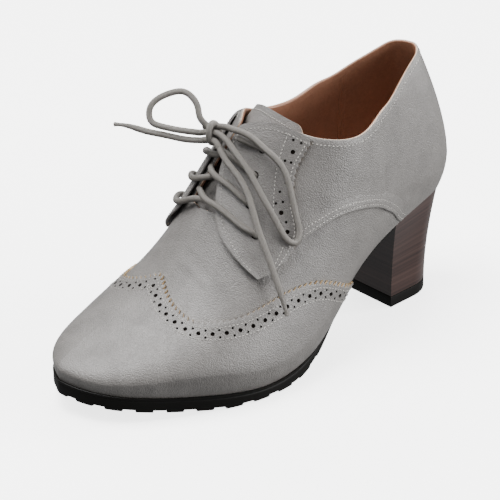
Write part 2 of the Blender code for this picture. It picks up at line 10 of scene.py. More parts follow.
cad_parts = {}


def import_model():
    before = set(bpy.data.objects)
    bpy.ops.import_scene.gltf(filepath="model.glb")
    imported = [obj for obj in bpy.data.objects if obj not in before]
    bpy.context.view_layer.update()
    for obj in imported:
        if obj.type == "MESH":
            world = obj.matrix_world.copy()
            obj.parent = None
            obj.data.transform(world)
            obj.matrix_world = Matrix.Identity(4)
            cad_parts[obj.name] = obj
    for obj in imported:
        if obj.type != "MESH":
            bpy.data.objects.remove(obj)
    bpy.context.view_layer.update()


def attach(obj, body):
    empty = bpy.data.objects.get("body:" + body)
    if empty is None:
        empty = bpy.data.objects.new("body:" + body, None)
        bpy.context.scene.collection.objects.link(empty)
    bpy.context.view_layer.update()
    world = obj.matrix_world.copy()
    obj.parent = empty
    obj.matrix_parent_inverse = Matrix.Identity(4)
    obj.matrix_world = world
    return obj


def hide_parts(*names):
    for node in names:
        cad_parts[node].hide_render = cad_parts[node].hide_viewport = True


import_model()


# Camera, floor and studio light.  The camera looks down at the shoe from its outer front, as the
# photograph does.  The floor is a pale sweep, and large soft lamps stand above it on both sides.
MM = 0.001
SHIFT_X, SHIFT_S = 2.58, 121.05     # what moves the middle of the shoe's outline to the origin
AIM = (SHIFT_X * MM, (SHIFT_S - 120) * MM, 0.060)
CAMERA_AZIMUTH, CAMERA_ELEVATION, CAMERA_ROLL = np.radians((51.6, 27.6, -1.1))
CAMERA_DISTANCE = 0.939
FOCAL_PIXELS, CENTRE_PIXEL, PHOTO_PIXELS = 1863.1, (264.4, 235.8), 500
SENSOR = 36.0


def look_from(azimuth, elevation, distance, roll=0.0, aim=AIM):
    """Matrix of a camera or lamp at that angle from the aim, its -Z towards it."""
    back = np.array([np.sin(azimuth) * np.cos(elevation), -np.cos(azimuth) * np.cos(elevation),
                     np.sin(elevation)])
    right = np.array([np.cos(azimuth), np.sin(azimuth), 0])
    up = np.cross(back, right)
    turned = right * np.cos(roll) + up * np.sin(roll)
    tall = up * np.cos(roll) - right * np.sin(roll)
    matrix = np.eye(4)
    matrix[:3, :4] = np.column_stack([turned, tall, back, np.array(aim) + back * distance])
    return Matrix(matrix.tolist())


view = bpy.data.cameras.new("studio_camera")
view.sensor_width = SENSOR
view.lens = FOCAL_PIXELS / PHOTO_PIXELS * SENSOR
view.shift_x = (PHOTO_PIXELS / 2 - CENTRE_PIXEL[0]) / PHOTO_PIXELS
view.shift_y = (CENTRE_PIXEL[1] - PHOTO_PIXELS / 2) / PHOTO_PIXELS
view.clip_start = 0.01
camera = bpy.data.objects.new("studio_camera", view)
camera.matrix_world = look_from(CAMERA_AZIMUTH, CAMERA_ELEVATION, CAMERA_DISTANCE, CAMERA_ROLL)
bpy.context.scene.collection.objects.link(camera)
bpy.context.scene.camera = camera


def lamp(name, azimuth, elevation, distance, size, power):
    """A square soft lamp that faces the shoe."""
    data = bpy.data.lights.new(name, "AREA")
    data.size = size
    data.energy = power
    obj = bpy.data.objects.new(name, data)
    obj.matrix_world = look_from(np.radians(azimuth), np.radians(elevation), distance)
    bpy.context.scene.collection.objects.link(obj)


lamp("lamp_overhead", -40, 74, 1.5, 0.9, 48)
lamp("lamp_over_toe", -40, 40, 1.3, 0.6, 6)
lamp("lamp_outer", 118, 14, 1.5, 0.8, 24)
lamp("lamp_heel_edge", 152, 20, 1.4, 0.4, 20)
lamp("lamp_behind", 235, 35, 1.5, 0.9, 14)
world_light = bpy.data.worlds.new("studio_light")
world_light.use_nodes = True
world_light.node_tree.nodes["Background"].inputs["Color"].default_value = (0.96, 0.98, 1.0, 1)
world_light.node_tree.nodes["Background"].inputs["Strength"].default_value = 0.42
bpy.context.scene.world = world_light

floor_material = bpy.data.materials.new("pale_floor")
floor_material.use_nodes = True
floor_shader = floor_material.node_tree.nodes["Principled BSDF"]
floor_shader.inputs["Base Color"].default_value = (0.92, 0.92, 0.91, 1)
floor_shader.inputs["Roughness"].default_value = 0.9
floor_shader.inputs["Emission Color"].default_value = (1, 1, 1, 1)
floor_shader.inputs["Emission Strength"].default_value = 3.0
floor_mesh = bpy.data.meshes.new("floor")
floor_mesh.from_pydata([(-40, -40, 0), (40, -40, 0), (40, 40, 0), (-40, 40, 0)], [], [(0, 1, 2, 3)])
floor_mesh.materials.append(floor_material)
floor = bpy.data.objects.new("floor", floor_mesh)
floor.visible_diffuse = False
floor.visible_glossy = False
bpy.context.scene.collection.objects.link(floor)


# Bow of the lace: a round waxed cord of 3.2 mm, tied over the throat.  One loop stands out over
# the inner side and one lies down the outer facing, and each end is bound and trimmed.
LACE_RADIUS = 1.6
BOW = {
    "lace_loop_inner": [(-22.2, 136.9, 118.0), (-25.5, 139.0, 122.6), (-27.2, 138.6, 126.5),
                        (-31.1, 139.3, 131.5), (-34.4, 141.6, 133.8), (-38.1, 146.5, 133.4),
                        (-40.9, 151.9, 131.3), (-42.1, 156.3, 127.9), (-41.3, 158.2, 124.3),
                        (-39.4, 158.5, 121.2), (-35.4, 155.4, 118.9), (-28.4, 148.2, 116.9),
                        (-22.4, 140.6, 115.4)],
    "lace_end_inner": [(-19.5, 139.1, 111.9), (-26.5, 147.4, 112.5), (-33.5, 154.3, 114.4),
                       (-39.8, 161.6, 116.6), (-46.9, 168.7, 119.4), (-50.3, 173.0, 120.2)],
    "lace_loop_outer": [(-8.0, 131.4, 119.3), (0.5, 128.5, 118.0),
                        (8.5, 126.0, 113.5), (17.0, 122.5, 106.5),
                        (23.5, 122.0, 95.0), (29.5, 122.8, 81.0), (32.4, 124.3, 74.0),
                        (33.0, 127.0, 71.5), (31.5, 129.5, 72.5), (29.0, 131.3, 76.0),
                        (25.5, 132.3, 81.5), (17.5, 134.5, 93.0), (8.0, 135.5, 104.0),
                        (-1.5, 136.5, 111.5), (-7.9, 135.9, 114.8)],
    "lace_end_outer": [(-11.2, 139.1, 112.5), (-3.5, 140.5, 107.5),
                       (4.0, 140.0, 102.5), (13.5, 140.0, 93.5),
                       (20.5, 141.5, 83.5), (26.5, 142.3, 75.0), (32.2, 142.5, 66.5),
                       (37.4, 142.8, 58.2), (42.4, 143.0, 49.4), (45.6, 143.0, 42.5)],
}
KNOT_CORDS = [
    [(-24.0, 137.6, 117.6), (-19.5, 136.2, 118.6), (-15.5, 134.2, 119.4),
     (-11.0, 132.4, 119.6), (-6.0, 130.9, 119.0)],
    [(-24.0, 141.6, 115.2), (-19.0, 138.8, 116.4), (-15.0, 137.4, 117.0),
     (-11.0, 136.5, 116.2), (-6.5, 136.1, 114.2)],
    [(-21.0, 140.9, 112.1), (-17.8, 139.6, 113.2), (-15.0, 139.2, 113.6),
     (-12.5, 139.1, 113.2), (-9.5, 139.6, 111.6)],
]
BAND_CENTRE, BAND_AXIS, BAND_HALF = (-17.2, 137.4, 116.2), (0.90, -0.28, 0.12), (3.1, 5.0)
BAND_TURNS, BAND_RADIUS = 1.25, 1.7


def world(points):
    """World position in metres of (x, s, z) in millimetres, s counted from the heel's back."""
    x, s, z = np.moveaxis(np.asarray(points, float), -1, 0)
    return np.stack([x + SHIFT_X, SHIFT_S - s, z], -1) * MM


def spline(xs, ys):
    """Natural cubic through the points: its second slopes solve one linear system."""
    xs, ys = np.asarray(xs, float), np.asarray(ys, float)
    n = len(xs)
    h = np.diff(xs)
    a = np.eye(n)
    b = np.zeros(n)
    i = np.arange(1, n - 1)
    a[i, i - 1], a[i, i], a[i, i + 1] = h[i - 1], 2 * (h[i - 1] + h[i]), h[i]
    b[i] = 6 * ((ys[i + 1] - ys[i]) / h[i] - (ys[i] - ys[i - 1]) / h[i - 1])
    m = np.linalg.solve(a, b)

    def at(x):
        x = np.clip(np.asarray(x, float), xs[0], xs[-1])
        k = np.clip(np.searchsorted(xs, x) - 1, 0, n - 2)
        left, right, width = x - xs[k], xs[k + 1] - x, h[k]
        return ((m[k] * right ** 3 + m[k + 1] * left ** 3) / (6 * width)
                + (ys[k] / width - m[k] * width / 6) * right
                + (ys[k + 1] / width - m[k + 1] * width / 6) * left)
    return at


def run_along(points):
    """Distance along a path at each of its points: the sum of the steps up to it."""
    return np.concatenate([[0], np.cumsum(np.linalg.norm(np.diff(points, axis=0), axis=1))])


def unit(vectors):
    """The same directions, each with length one."""
    return vectors / np.linalg.norm(vectors, axis=-1, keepdims=True)


def through(points, count):
    """Smooth curve through a few points: one spline per coordinate over the chord length."""
    points = np.asarray(points, float)
    run = run_along(points)
    at = np.linspace(0, run[-1], count)
    return np.stack([spline(run, points[:, i])(at) for i in range(points.shape[1])], -1)


def even(points, spacing):
    """The same path with points at even distances along it."""
    run = run_along(points)
    at = np.linspace(0, run[-1], max(int(round(run[-1] / spacing)), 2) + 1)
    return np.stack([np.interp(at, run, points[:, i]) for i in range(points.shape[1])], -1)


def grid_faces(rows, cols, round_cols=False):
    """Quads of a grid numbered row by row; round_cols joins the last column to the first."""
    i, j = np.meshgrid(np.arange(rows - 1), np.arange(cols if round_cols else cols - 1), indexing="ij")
    k = (j + 1) % cols
    return np.stack([i * cols + j, i * cols + k, (i + 1) * cols + k, (i + 1) * cols + j], -1).reshape(-1, 4)


def tube(path, radius, sides=14):
    """Points, quads and UVs of a tube: a circle of that radius carried along the path, shut by a cone
    at each end.  The circle's first direction is carried along without twisting."""
    along = unit(np.gradient(path, axis=0))
    first = np.cross(along[0], (0.31, -0.42, 0.85))
    across = np.empty_like(path)
    for k, d in enumerate(along):
        first = unit(first - d * np.dot(first, d))
        across[k] = first
    over = np.cross(along, across)
    radius = np.broadcast_to(radius, len(path))
    run = run_along(path)
    centre = np.concatenate([path[:1], path, path[-1:]])
    size = np.concatenate([[radius[0] * 0.55], radius, [radius[-1] * 0.55]])
    centre[0] -= along[0] * radius[0] * 0.3
    centre[-1] += along[-1] * radius[-1] * 0.3
    across, over = (np.concatenate([v[:1], v, v[-1:]]) for v in (across, over))
    angle = np.arange(sides) * 2 * np.pi / sides
    circle = np.cos(angle)[:, None] * across[:, None] + np.sin(angle)[:, None] * over[:, None]
    rings = centre[:, None] + size[:, None, None] * circle
    rows = len(centre)
    quads = grid_faces(rows, sides, round_cols=True)
    tips = np.array([path[0] - along[0] * radius[0] * 0.5, path[-1] + along[-1] * radius[-1] * 0.5])
    points = np.concatenate([rings.reshape(-1, 3), tips])
    j = np.arange(sides)
    last = (rows - 1) * sides
    ahead = (j + 1) % sides
    first_tip, last_tip = np.full(sides, rows * sides), np.full(sides, rows * sides + 1)
    caps = np.concatenate([np.stack([j, first_tip, ahead, ahead], -1),
                           np.stack([last + j, last + ahead, last_tip, last_tip], -1)])
    run = np.concatenate([[0], run, [run[-1]]])
    uv = np.stack([np.repeat(run, sides), np.tile(angle / (2 * np.pi), rows)], -1)
    uv = np.concatenate([uv, [[0, 0], [run[-1], 0]]])
    return points, np.concatenate([quads, caps]), uv


def piece(name, points, faces, materials, stands_for=None, face_slots=None, uv=None, smooth=40):
    """A piece at the origin: its mesh in metres, its materials, the slot and the node it stands for,
    and smooth shading up to an angle.  A shell whose volume comes out negative is turned, so that
    its faces point outwards."""
    mesh = bpy.data.meshes.new(name)
    a, b, c, d = (points[faces[:, i]] for i in range(4))
    if (a * (np.cross(b, c) + np.cross(c, d))).sum() < 0:
        faces = faces[:, ::-1]
    loops = [f[np.sort(np.unique(f, return_index=True)[1])] if len(set(f)) < 4 else f for f in faces]
    mesh.from_pydata(points.tolist(), [], [f.tolist() for f in loops])
    for material in materials:
        mesh.materials.append(material)
    if face_slots is not None:
        mesh.polygons.foreach_set("material_index", np.asarray(face_slots, np.int32))
    if uv is not None:
        corner = np.empty(len(mesh.loops), np.int32)
        mesh.loops.foreach_get("vertex_index", corner)
        layer = mesh.uv_layers.new(name="along")
        layer.data.foreach_set("uv", uv[corner].astype(np.float32).ravel())
    mesh.shade_smooth()
    mesh.set_sharp_from_angle(angle=np.radians(smooth))
    mesh.validate()
    obj = bpy.data.objects.new(name, mesh)
    bpy.context.scene.collection.objects.link(obj)
    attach(obj, "root")
    if stands_for:
        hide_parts(stands_for)
    return obj


def new_material(name, colour, roughness):
    """A material, its node tree, its shader, and the outputs that tell where on the piece a point is."""
    material = bpy.data.materials.new(name)
    material.use_nodes = True
    tree = material.node_tree
    shader = tree.nodes["Principled BSDF"]
    shader.inputs["Base Color"].default_value = (*colour, 1)
    shader.inputs["Roughness"].default_value = roughness
    return material, tree, shader, tree.nodes.new("ShaderNodeTexCoord").outputs


def node(tree, kind, values=None, **wires):
    """A shader node with its properties and constant inputs (a dict) and its linked inputs
    (keywords).  An input that shares its name with others goes by its number, in_0 and so on."""
    made = tree.nodes.new(kind)
    for key, value in (values or {}).items():
        if isinstance(key, str) and hasattr(made, key) and key not in made.inputs:
            setattr(made, key, value)
        else:
            made.inputs[key].default_value = value
    for key, socket in wires.items():
        key = int(key[3:]) if key.startswith("in_") else key.replace("_", " ")
        tree.links.new(socket, made.inputs[key])
    return made


def noise(tree, vector, scale, detail):
    """Broad or fine cloud noise over a vector."""
    return node(tree, "ShaderNodeTexNoise", {"Scale": scale, "Detail": detail}, Vector=vector)


def raise_surface(tree, shader, height, strength, distance):
    """Lets a height feed the shader's normal through a bump node."""
    raised = node(tree, "ShaderNodeBump", {"Strength": strength, "Distance": distance}, Height=height)
    tree.links.new(raised.outputs["Normal"], shader.inputs["Normal"])


LACE_COLOUR, LACE_SHADE = (0.165, 0.153, 0.138), (0.105, 0.096, 0.085)
lace_material, tree, shader, where = new_material("waxed_grey_lace", LACE_COLOUR, 0.55)
spread = node(tree, "ShaderNodeMapping", {"Scale": (900.0, 7.0, 1.0)}, Vector=where["UV"])
braid = node(tree, "ShaderNodeTexWave", {"wave_type": "BANDS", "bands_direction": "DIAGONAL",
             "Scale": 1.0, "Distortion": 0.6, "Detail": 1.0}, Vector=spread.outputs["Vector"])
fibre = noise(tree, where["Object"], 900.0, 3.0)
blend = node(tree, "ShaderNodeMix", {"data_type": "RGBA", 6: (*LACE_SHADE, 1), 7: (*LACE_COLOUR, 1)},
             Factor=fibre.outputs["Fac"])
tree.links.new(blend.outputs[2], shader.inputs["Base Color"])
raise_surface(tree, shader, braid.outputs["Fac"], 0.6, 0.0003)

for name, route in BOW.items():
    path = world(even(through(route, 400), 1.2))
    length = float(np.linalg.norm(np.diff(path, axis=0), axis=1).sum())
    free_end = name.startswith("lace_end")
    taper = np.full(len(path), LACE_RADIUS * MM)
    if free_end:
        to_tip = np.linspace(length, 0, len(path)) / MM
        taper *= np.clip(0.45 + to_tip / 22, 0.45, 1) + 0.32 * np.exp(-(to_tip / 1.3) ** 2)
    points, faces, uv = tube(path, taper)
    lace = piece(name + "_cord", points, faces, [lace_material], name, uv=uv)


def together(parts):
    """Several meshes, each (points, faces, uv or slots), as one."""
    counts = np.cumsum([0] + [len(part[0]) for part in parts])
    return (np.concatenate([part[0] for part in parts]),
            np.concatenate([part[1] + count for part, count in zip(parts, counts)]),
            np.concatenate([part[2] for part in parts]))


turn = np.linspace(-0.5, BAND_TURNS - 0.5, 70) * 2 * np.pi
axis = unit(np.array(BAND_AXIS))
wide = unit(np.cross((0.0, 0.0, 1.0), axis))
band = (np.array(BAND_CENTRE) + BAND_HALF[0] * np.cos(turn)[:, None] * wide
        + BAND_HALF[1] * np.sin(turn)[:, None] * np.cross(axis, wide)
        + axis * np.linspace(-1.6, 1.9, len(turn))[:, None])
wraps = [tube(world(even(through(cord, 200), 0.9)), LACE_RADIUS * MM) for cord in KNOT_CORDS]
points, faces, uv = together(wraps + [tube(world(even(band, 0.8)), BAND_RADIUS * MM)])
piece("lace_knot_wraps", points, faces, [lace_material], "lace_knot", uv=uv)


# Upper: vamp and quarters of grey leather over brown lining, drawn over the last.  The quarters
# lap 0.8 mm over the vamp along a seam from the facings down to the heel seat, and the collar is
# cut raw, so that a pale edge shows.
# A row for each wall line of the last: its place and direction, its half widths at the feather
# edge, the belt's swell and rise, the lean and tip of the tall rear walls, and how round it is.
LAST = np.array([
    # p     pivot turn  out   in    swell rise  lean  tip   round
    (0.00,  28.0,   0, 22.6, 22.6,  3.2,  18.5, 17.0, 20.0, 2.00),
    (0.10,  28.0,  36, 21.0, 21.0,  4.0,  18.5, 19.0, 21.5, 2.00),
    (0.20,  33.0,  70, 20.2, 20.2,  3.0,  17.5, 18.0, 13.0, 2.00),
    (0.30,  52.0,  86, 25.0, 25.0,  2.0,  18.0, 13.0,  5.0, 2.00),
    (0.42,  84.0,  90, 31.0, 28.0,  4.4,  18.0,  3.5,  0.0, 1.90),
    (0.54, 118.0,  91, 39.2, 35.2,  4.9,  14.5,  3.4,  0.0, 1.65),
    (0.66, 150.0,  94, 46.2, 42.2,  3.0,  11.0,  2.0,  0.0, 1.50),
    (0.76, 172.0, 101, 44.5, 40.5,  3.0,  12.5,  0.4,  0.0, 2.00),
    (0.86, 186.0, 122, 40.5, 36.5,  2.0,   9.0,  0.0,  0.0, 2.12),
    (0.94, 191.0, 152, 42.5, 40.5,  1.0,   5.5,  0.0,  0.0, 2.12),
    (1.00, 192.0, 180, 45.3, 45.3,  0.8,   5.5,  0.0,  0.0, 2.12),
])
RIDGE = np.array([
    # s     z      x
    (-10.0, 400.0,   0.0), (40.0, 320.0,   0.0), (70.0, 214.0,  -0.5), (95.0, 153.5,  -3.0),
    (115.0, 127.0,  -9.5), (135.0, 101.0, -12.5), (155.0, 73.0, -10.0), (175.0, 51.0,  -6.0),
    (195.0, 40.0,   -4.2), (215.0, 34.5,  -4.0), (240.0, 29.7,  -4.0),
])
CENTRE = np.array([
    # s    x
    (0.0, 0.0), (60.0, 0.0), (110.0, -1.6), (160.0, -4.9), (200.0, -12.8), (240.0, -15.3),
])
BOTTOM = np.array([
    # s     z     thick welt
    (0.0,   59.8,  3.0, -1.2), (14.0, 59.3,  3.0, -1.2), (28.0, 57.6,  3.0, -1.2),
    (50.0,  54.4,  3.0, -1.2), (68.0, 48.6,  3.0, -1.2), (84.0, 39.2,  3.2, -1.1),
    (101.0, 24.6,  4.0, -0.4), (118.0, 12.4, 6.0,  1.6), (135.0, 7.9,  7.6,  2.5),
    (152.0, 6.8,   8.3,  2.6), (180.0, 8.8,  8.3,  2.6), (207.0, 12.2, 8.3,  2.6),
    (229.0, 16.0,  8.3,  2.6), (240.0, 18.1, 8.3,  2.6),
])
TOP_LINE = np.array([
    # p     t
    (0.00, 0.124), (0.08, 0.126), (0.15, 0.1295), (0.20, 0.1345), (0.25, 0.1415), (0.29, 0.1525),
    (0.32, 0.169), (0.35, 0.199), (0.38, 0.234), (0.41, 0.288), (0.44, 0.369), (0.47, 0.470), (0.49, 0.548),
    (0.512, 0.66), (0.537, 0.82), (0.555, 0.925), (0.590, 0.90), (0.612, 0.86), (0.628, 0.80),
    (0.640, 0.78), (0.648, 0.80), (0.655, 0.90), (0.660, 1.00),
])
QUARTER_SEAM = np.array([
    # p     t
    (0.300, -0.99), (0.309, -0.86), (0.324, -0.54), (0.342, -0.198), (0.364, 0.013), (0.387, 0.046),
    (0.415, 0.094), (0.440, 0.146), (0.468, 0.205), (0.494, 0.248), (0.523, 0.285), (0.548, 0.307),
    (0.590, 0.326), (0.615, 0.345), (0.640, 0.400), (0.660, 0.47),
])
UPPER_WALL, QUARTER_LAP, RIM_BULGE, THROAT_END_P = 1.6, 0.8, 0.35, 0.66


def columns(rows):
    """A spline for each column of a table over its first one."""
    return [spline(rows[:, 0], rows[:, i]) for i in range(1, rows.shape[1])]


PIVOT, TURN, OUT, IN, SWELL, RISE, LEAN, TIP, ROUND = columns(LAST)
RIDGE_Z, RIDGE_X = columns(RIDGE)
CENTRE_X, = columns(CENTRE)
EDGE_Z, SOLE_THICK, WELT = columns(BOTTOM)
top_line, = columns(TOP_LINE)


def feather_edge(p, side, out=0.0):
    """Point (x, s, z) where upper meets sole on wall line p, moved outward by out."""
    turn = np.radians(TURN(p))
    r = np.where(side > 0, OUT(p), IN(p)) + out
    s = PIVOT(p) - np.cos(turn) * r
    return np.stack([CENTRE_X(PIVOT(p)) + side * np.sin(turn) * r, s, EDGE_Z(s)], -1)


def last_point(p, t):
    """Point on the last, in metres.  p runs 0 to 1 from heel back to toe tip, and t from -1 at the
    outer feather edge over 0 at the belt and 1 at the ridge down to 3 at the inner feather edge.
    Above the belt a section is a superellipse: its half width shrinks as a power of the cosine.
    Past either end, p runs back along the other side."""
    p, t = np.broadcast_arrays(np.asarray(p, float), np.asarray(t, float))
    past_end = (p < 0) | (p > 1)
    t = np.where(past_end, 2 - t, t)
    p = np.where(p < 0, -p, np.where(p > 1, 2 - p, p))
    side = np.where(t <= 1, 1.0, -1.0)
    t = np.where(t <= 1, t, 2 - t)
    turn = np.radians(TURN(p))
    dx, ds = side * np.sin(turn), -np.cos(turn)
    foot = feather_edge(p, side)
    belt = np.where(side > 0, OUT(p), IN(p)) + SWELL(p)
    belt_z = foot[..., 2] + RISE(p)
    angle = np.clip(t, 0, 1) * np.pi / 2
    close = np.maximum(np.cos(angle), 0) ** (2 / ROUND(p))
    top_z = RIDGE_Z(PIVOT(p) + ds * belt * close)
    z = belt_z + (top_z - belt_z) * np.sin(angle)
    high = (np.maximum(z - belt_z, 0) / 100) ** 1.5
    r = (belt - LEAN(p) * high) * close
    low = np.clip(-t, 0, 1)
    r = np.where(t < 0, belt - SWELL(p) * low ** 2, r)
    z = np.where(t < 0, belt_z - RISE(p) * low, z)
    s = PIVOT(p) + ds * r + TIP(p) * high
    x = CENTRE_X(PIVOT(p)) + dx * r + RIDGE_X(s) * np.sin(angle)
    return world(np.stack([x, s, z], -1))


def slopes(p, t, step=0.004):
    """How the last's point changes with p and with t, by differences of its neighbours."""
    t_low, t_high = np.maximum(t - step, -1), np.minimum(t + step, 3)
    by_p = (last_point(p + step, t) - last_point(p - step, t)) / (2 * step)
    by_t = (last_point(p, t_high) - last_point(p, t_low)) / (t_high - t_low)[..., None]
    return by_p, by_t


def facing_out(p, t):
    """Unit normal of the last, pointing out of the shoe."""
    by_p, by_t = slopes(p, t)
    n = np.cross(by_t, by_p)
    return n / np.maximum(np.linalg.norm(n, axis=-1), 1e-12)[..., None]


def on_last(p, t, lift):
    """Point at a height of lift millimetres above the last, along its normal."""
    p, t, lift = np.broadcast_arrays(np.asarray(p, float), np.asarray(t, float), lift)
    return last_point(p, t) + facing_out(p, t) * (lift * MM)[..., None]


def beside(p, t, distance):
    """The line (p, t) moved sideways over the last by a distance in millimetres, to the left when
    seen along the line from outside.  Each point takes Newton steps towards its shifted place."""
    across = unit(np.cross(facing_out(p, t), np.gradient(last_point(p, t), axis=0)))
    target = last_point(p, t) + across * (np.broadcast_to(distance, p.shape) * MM)[:, None]
    for _ in range(5):
        by_p, by_t = slopes(p, t)
        left = target - last_point(p, t)
        pp, pt, tt = (by_p * by_p).sum(-1), (by_p * by_t).sum(-1), (by_t * by_t).sum(-1)
        gp, gt = (by_p * left).sum(-1), (by_t * left).sum(-1)
        det = np.maximum(pp * tt - pt * pt, 1e-16)
        p = np.clip(p + np.clip((tt * gp - pt * gt) / det, -0.03, 0.03), 0, 1)
        t = np.clip(t + np.clip((pp * gt - pt * gp) / det, -0.1, 0.1), -1, 3)
    return p, t


ROUGH_MM = (220.0, (-1, 0, 2, 3), (-18.0, 0.0, 400.0, 418.0))      # length for p, and t against height


def line_through(rows, count=600):
    """Smooth line of (p, t) through a short table's points, drawn in rough millimetres, because t
    covers far more height above the belt than below it."""
    long, at_t, at_mm = ROUGH_MM
    line = through(np.column_stack([rows[:, 0] * long, np.interp(rows[:, 1], at_t, at_mm)]), count)
    return line[:, 0] / long, np.interp(line[:, 1], at_mm, at_t)


def even_line(p, t, spacing):
    """The same line with points at even distances over the last, in millimetres."""
    run = run_along(last_point(p, t)) / MM
    at = np.linspace(0, run[-1], max(int(round(run[-1] / spacing)), 2) + 1)
    return np.interp(at, run, p), np.interp(at, run, t)


def merged(points, quads):
    """Joins points that coincide; faces keep their order, and flat ones are dropped."""
    _, first, index = np.unique(np.round(points, 7), axis=0, return_index=True, return_inverse=True)
    quads = index.reshape(-1)[quads]
    short = np.sort(quads, axis=1)
    kept = (np.diff(short, axis=1) != 0).sum(1) >= 2
    return points[first], quads[kept], kept


seam_p, seam_t = line_through(QUARTER_SEAM)


def leather_grain(name):
    """Node group: cloudy colour and a pebbled height, from Object coordinates.  Clouds are broad
    noise, fine streaks break them up, and pebbles are cells of a Voronoi pattern 0.7 mm wide."""
    group = bpy.data.node_groups.new(name, "ShaderNodeTree")
    for label, kind in (("Vector", "Vector"), ("Base", "Color"), ("Dark", "Color"), ("Light", "Color"),
                        ("Cloud Scale", "Float"), ("Grain Scale", "Float")):
        group.interface.new_socket(label, in_out="INPUT", socket_type="NodeSocket" + kind)
    for label, kind in (("Color", "Color"), ("Height", "Float"), ("Roughness", "Float")):
        group.interface.new_socket(label, in_out="OUTPUT", socket_type="NodeSocket" + kind)
    start, end = group.nodes.new("NodeGroupInput").outputs, group.nodes.new("NodeGroupOutput").inputs
    vector = start["Vector"]
    cloud = node(group, "ShaderNodeTexNoise", {"Detail": 5.0, "Roughness": 0.62},
                 Vector=vector, Scale=start["Cloud Scale"]).outputs["Fac"]
    mottle = node(group, "ShaderNodeTexNoise", {"Scale": 700.0, "Detail": 4.0, "Roughness": 0.7},
                  Vector=vector)
    tint = node(group, "ShaderNodeMath", {"operation": "MULTIPLY_ADD", 1: 0.9},
                in_0=mottle.outputs["Fac"], in_2=cloud).outputs[0]
    colour = start["Base"]
    for other, low, high in (("Light", 0.90, 1.15), ("Dark", 0.92, 0.72)):
        share = node(group, "ShaderNodeMapRange", {"From Min": low, "From Max": high}, Value=tint)
        colour = node(group, "ShaderNodeMix", {"data_type": "RGBA"}, Factor=share.outputs["Result"],
                      in_6=colour, in_7=start[other]).outputs[2]
    pebble = node(group, "ShaderNodeTexVoronoi", {"feature": "F1", "Randomness": 1.0},
                  Vector=vector, Scale=start["Grain Scale"])
    fine = noise(group, vector, 2600.0, 3.0)
    low = node(group, "ShaderNodeMath", {"operation": "MULTIPLY", 1: -0.8}, in_0=pebble.outputs["Distance"])
    height = node(group, "ShaderNodeMath", {"operation": "MULTIPLY_ADD", 1: 0.45},
                  in_0=fine.outputs["Fac"], in_2=low.outputs[0])
    rough = node(group, "ShaderNodeMapRange", {"From Min": 0.3, "From Max": 0.7, "To Min": 0.47,
                 "To Max": 0.38}, Value=cloud)
    for label, socket in zip(("Color", "Height", "Roughness"), (colour, height.outputs[0], rough.outputs[0])):
        group.links.new(socket, end[label])
    return group


grain = leather_grain("leather_grain")


def leather(name, base, dark, light, cloud=85.0, pebbles=1500.0, bump=0.8, coat=0.12):
    """A leather finish: the grain group feeds colour, roughness and a fine bump."""
    material, tree, shader, where = new_material(name, base, 0.45)
    group = tree.nodes.new("ShaderNodeGroup")
    group.node_tree = grain
    tree.links.new(where["Object"], group.inputs["Vector"])
    for label, colour in (("Base", base), ("Dark", dark), ("Light", light)):
        group.inputs[label].default_value = (*colour, 1)
    group.inputs["Cloud Scale"].default_value = cloud
    group.inputs["Grain Scale"].default_value = pebbles
    tree.links.new(group.outputs["Color"], shader.inputs["Base Color"])
    tree.links.new(group.outputs["Roughness"], shader.inputs["Roughness"])
    raise_surface(tree, shader, group.outputs["Height"], bump, 0.0003)
    shader.inputs["Coat Weight"].default_value = coat
    shader.inputs["Coat Roughness"].default_value = 0.32
    return material


grey_leather = leather("grey_leather", (0.127, 0.119, 0.112), (0.108, 0.101, 0.095), (0.150, 0.141, 0.133))
brown_lining = leather("brown_lining", (0.270, 0.132, 0.080), (0.235, 0.112, 0.067), (0.305, 0.150, 0.093),
                       cloud=30.0, pebbles=2200.0, bump=0.12, coat=0.0)
pale_edge = leather("pale_raw_edge", (0.50, 0.36, 0.26), (0.36, 0.25, 0.17), (0.60, 0.46, 0.35),
                    cloud=400.0, coat=0.0)
tan_edge = leather("tan_raw_edge", (0.40, 0.27, 0.13), (0.24, 0.15, 0.07), (0.55, 0.40, 0.22),
                   cloud=700.0, coat=0.0)


CREASES = [
    # from (p, t)     to (p, t)        width depth
    ((0.712, 0.95), (0.700, 0.45), 3.2, 0.30), ((0.738, 0.90), (0.722, 0.55), 2.6, 0.22),
    ((0.640, -0.10), (0.600, 0.20), 4.0, 0.30), ((0.240, -0.30), (0.330, -0.10), 4.5, 0.30),
    ((0.190, 0.00), (0.260, 0.06), 4.5, 0.25), ((0.400, 0.14), (0.440, 0.20), 4.0, 0.30),
    ((0.500, -0.45), (0.560, -0.20), 4.5, 0.28), ((0.700, 1.45), (0.705, 1.10), 3.2, 0.28),
    ((0.330, 2.10), (0.420, 1.85), 4.5, 0.30), ((0.520, 2.30), (0.600, 2.00), 4.0, 0.30),
]


def lap_at(p):
    """Height of the quarter over the vamp: it fades towards the heel seat and under the facing."""
    rise = np.clip((p - 0.30) / 0.08, 0, 1)
    return QUARTER_LAP * rise ** 2 * (3 - 2 * rise) * np.clip((0.640 - p) / 0.012, 0, 1)


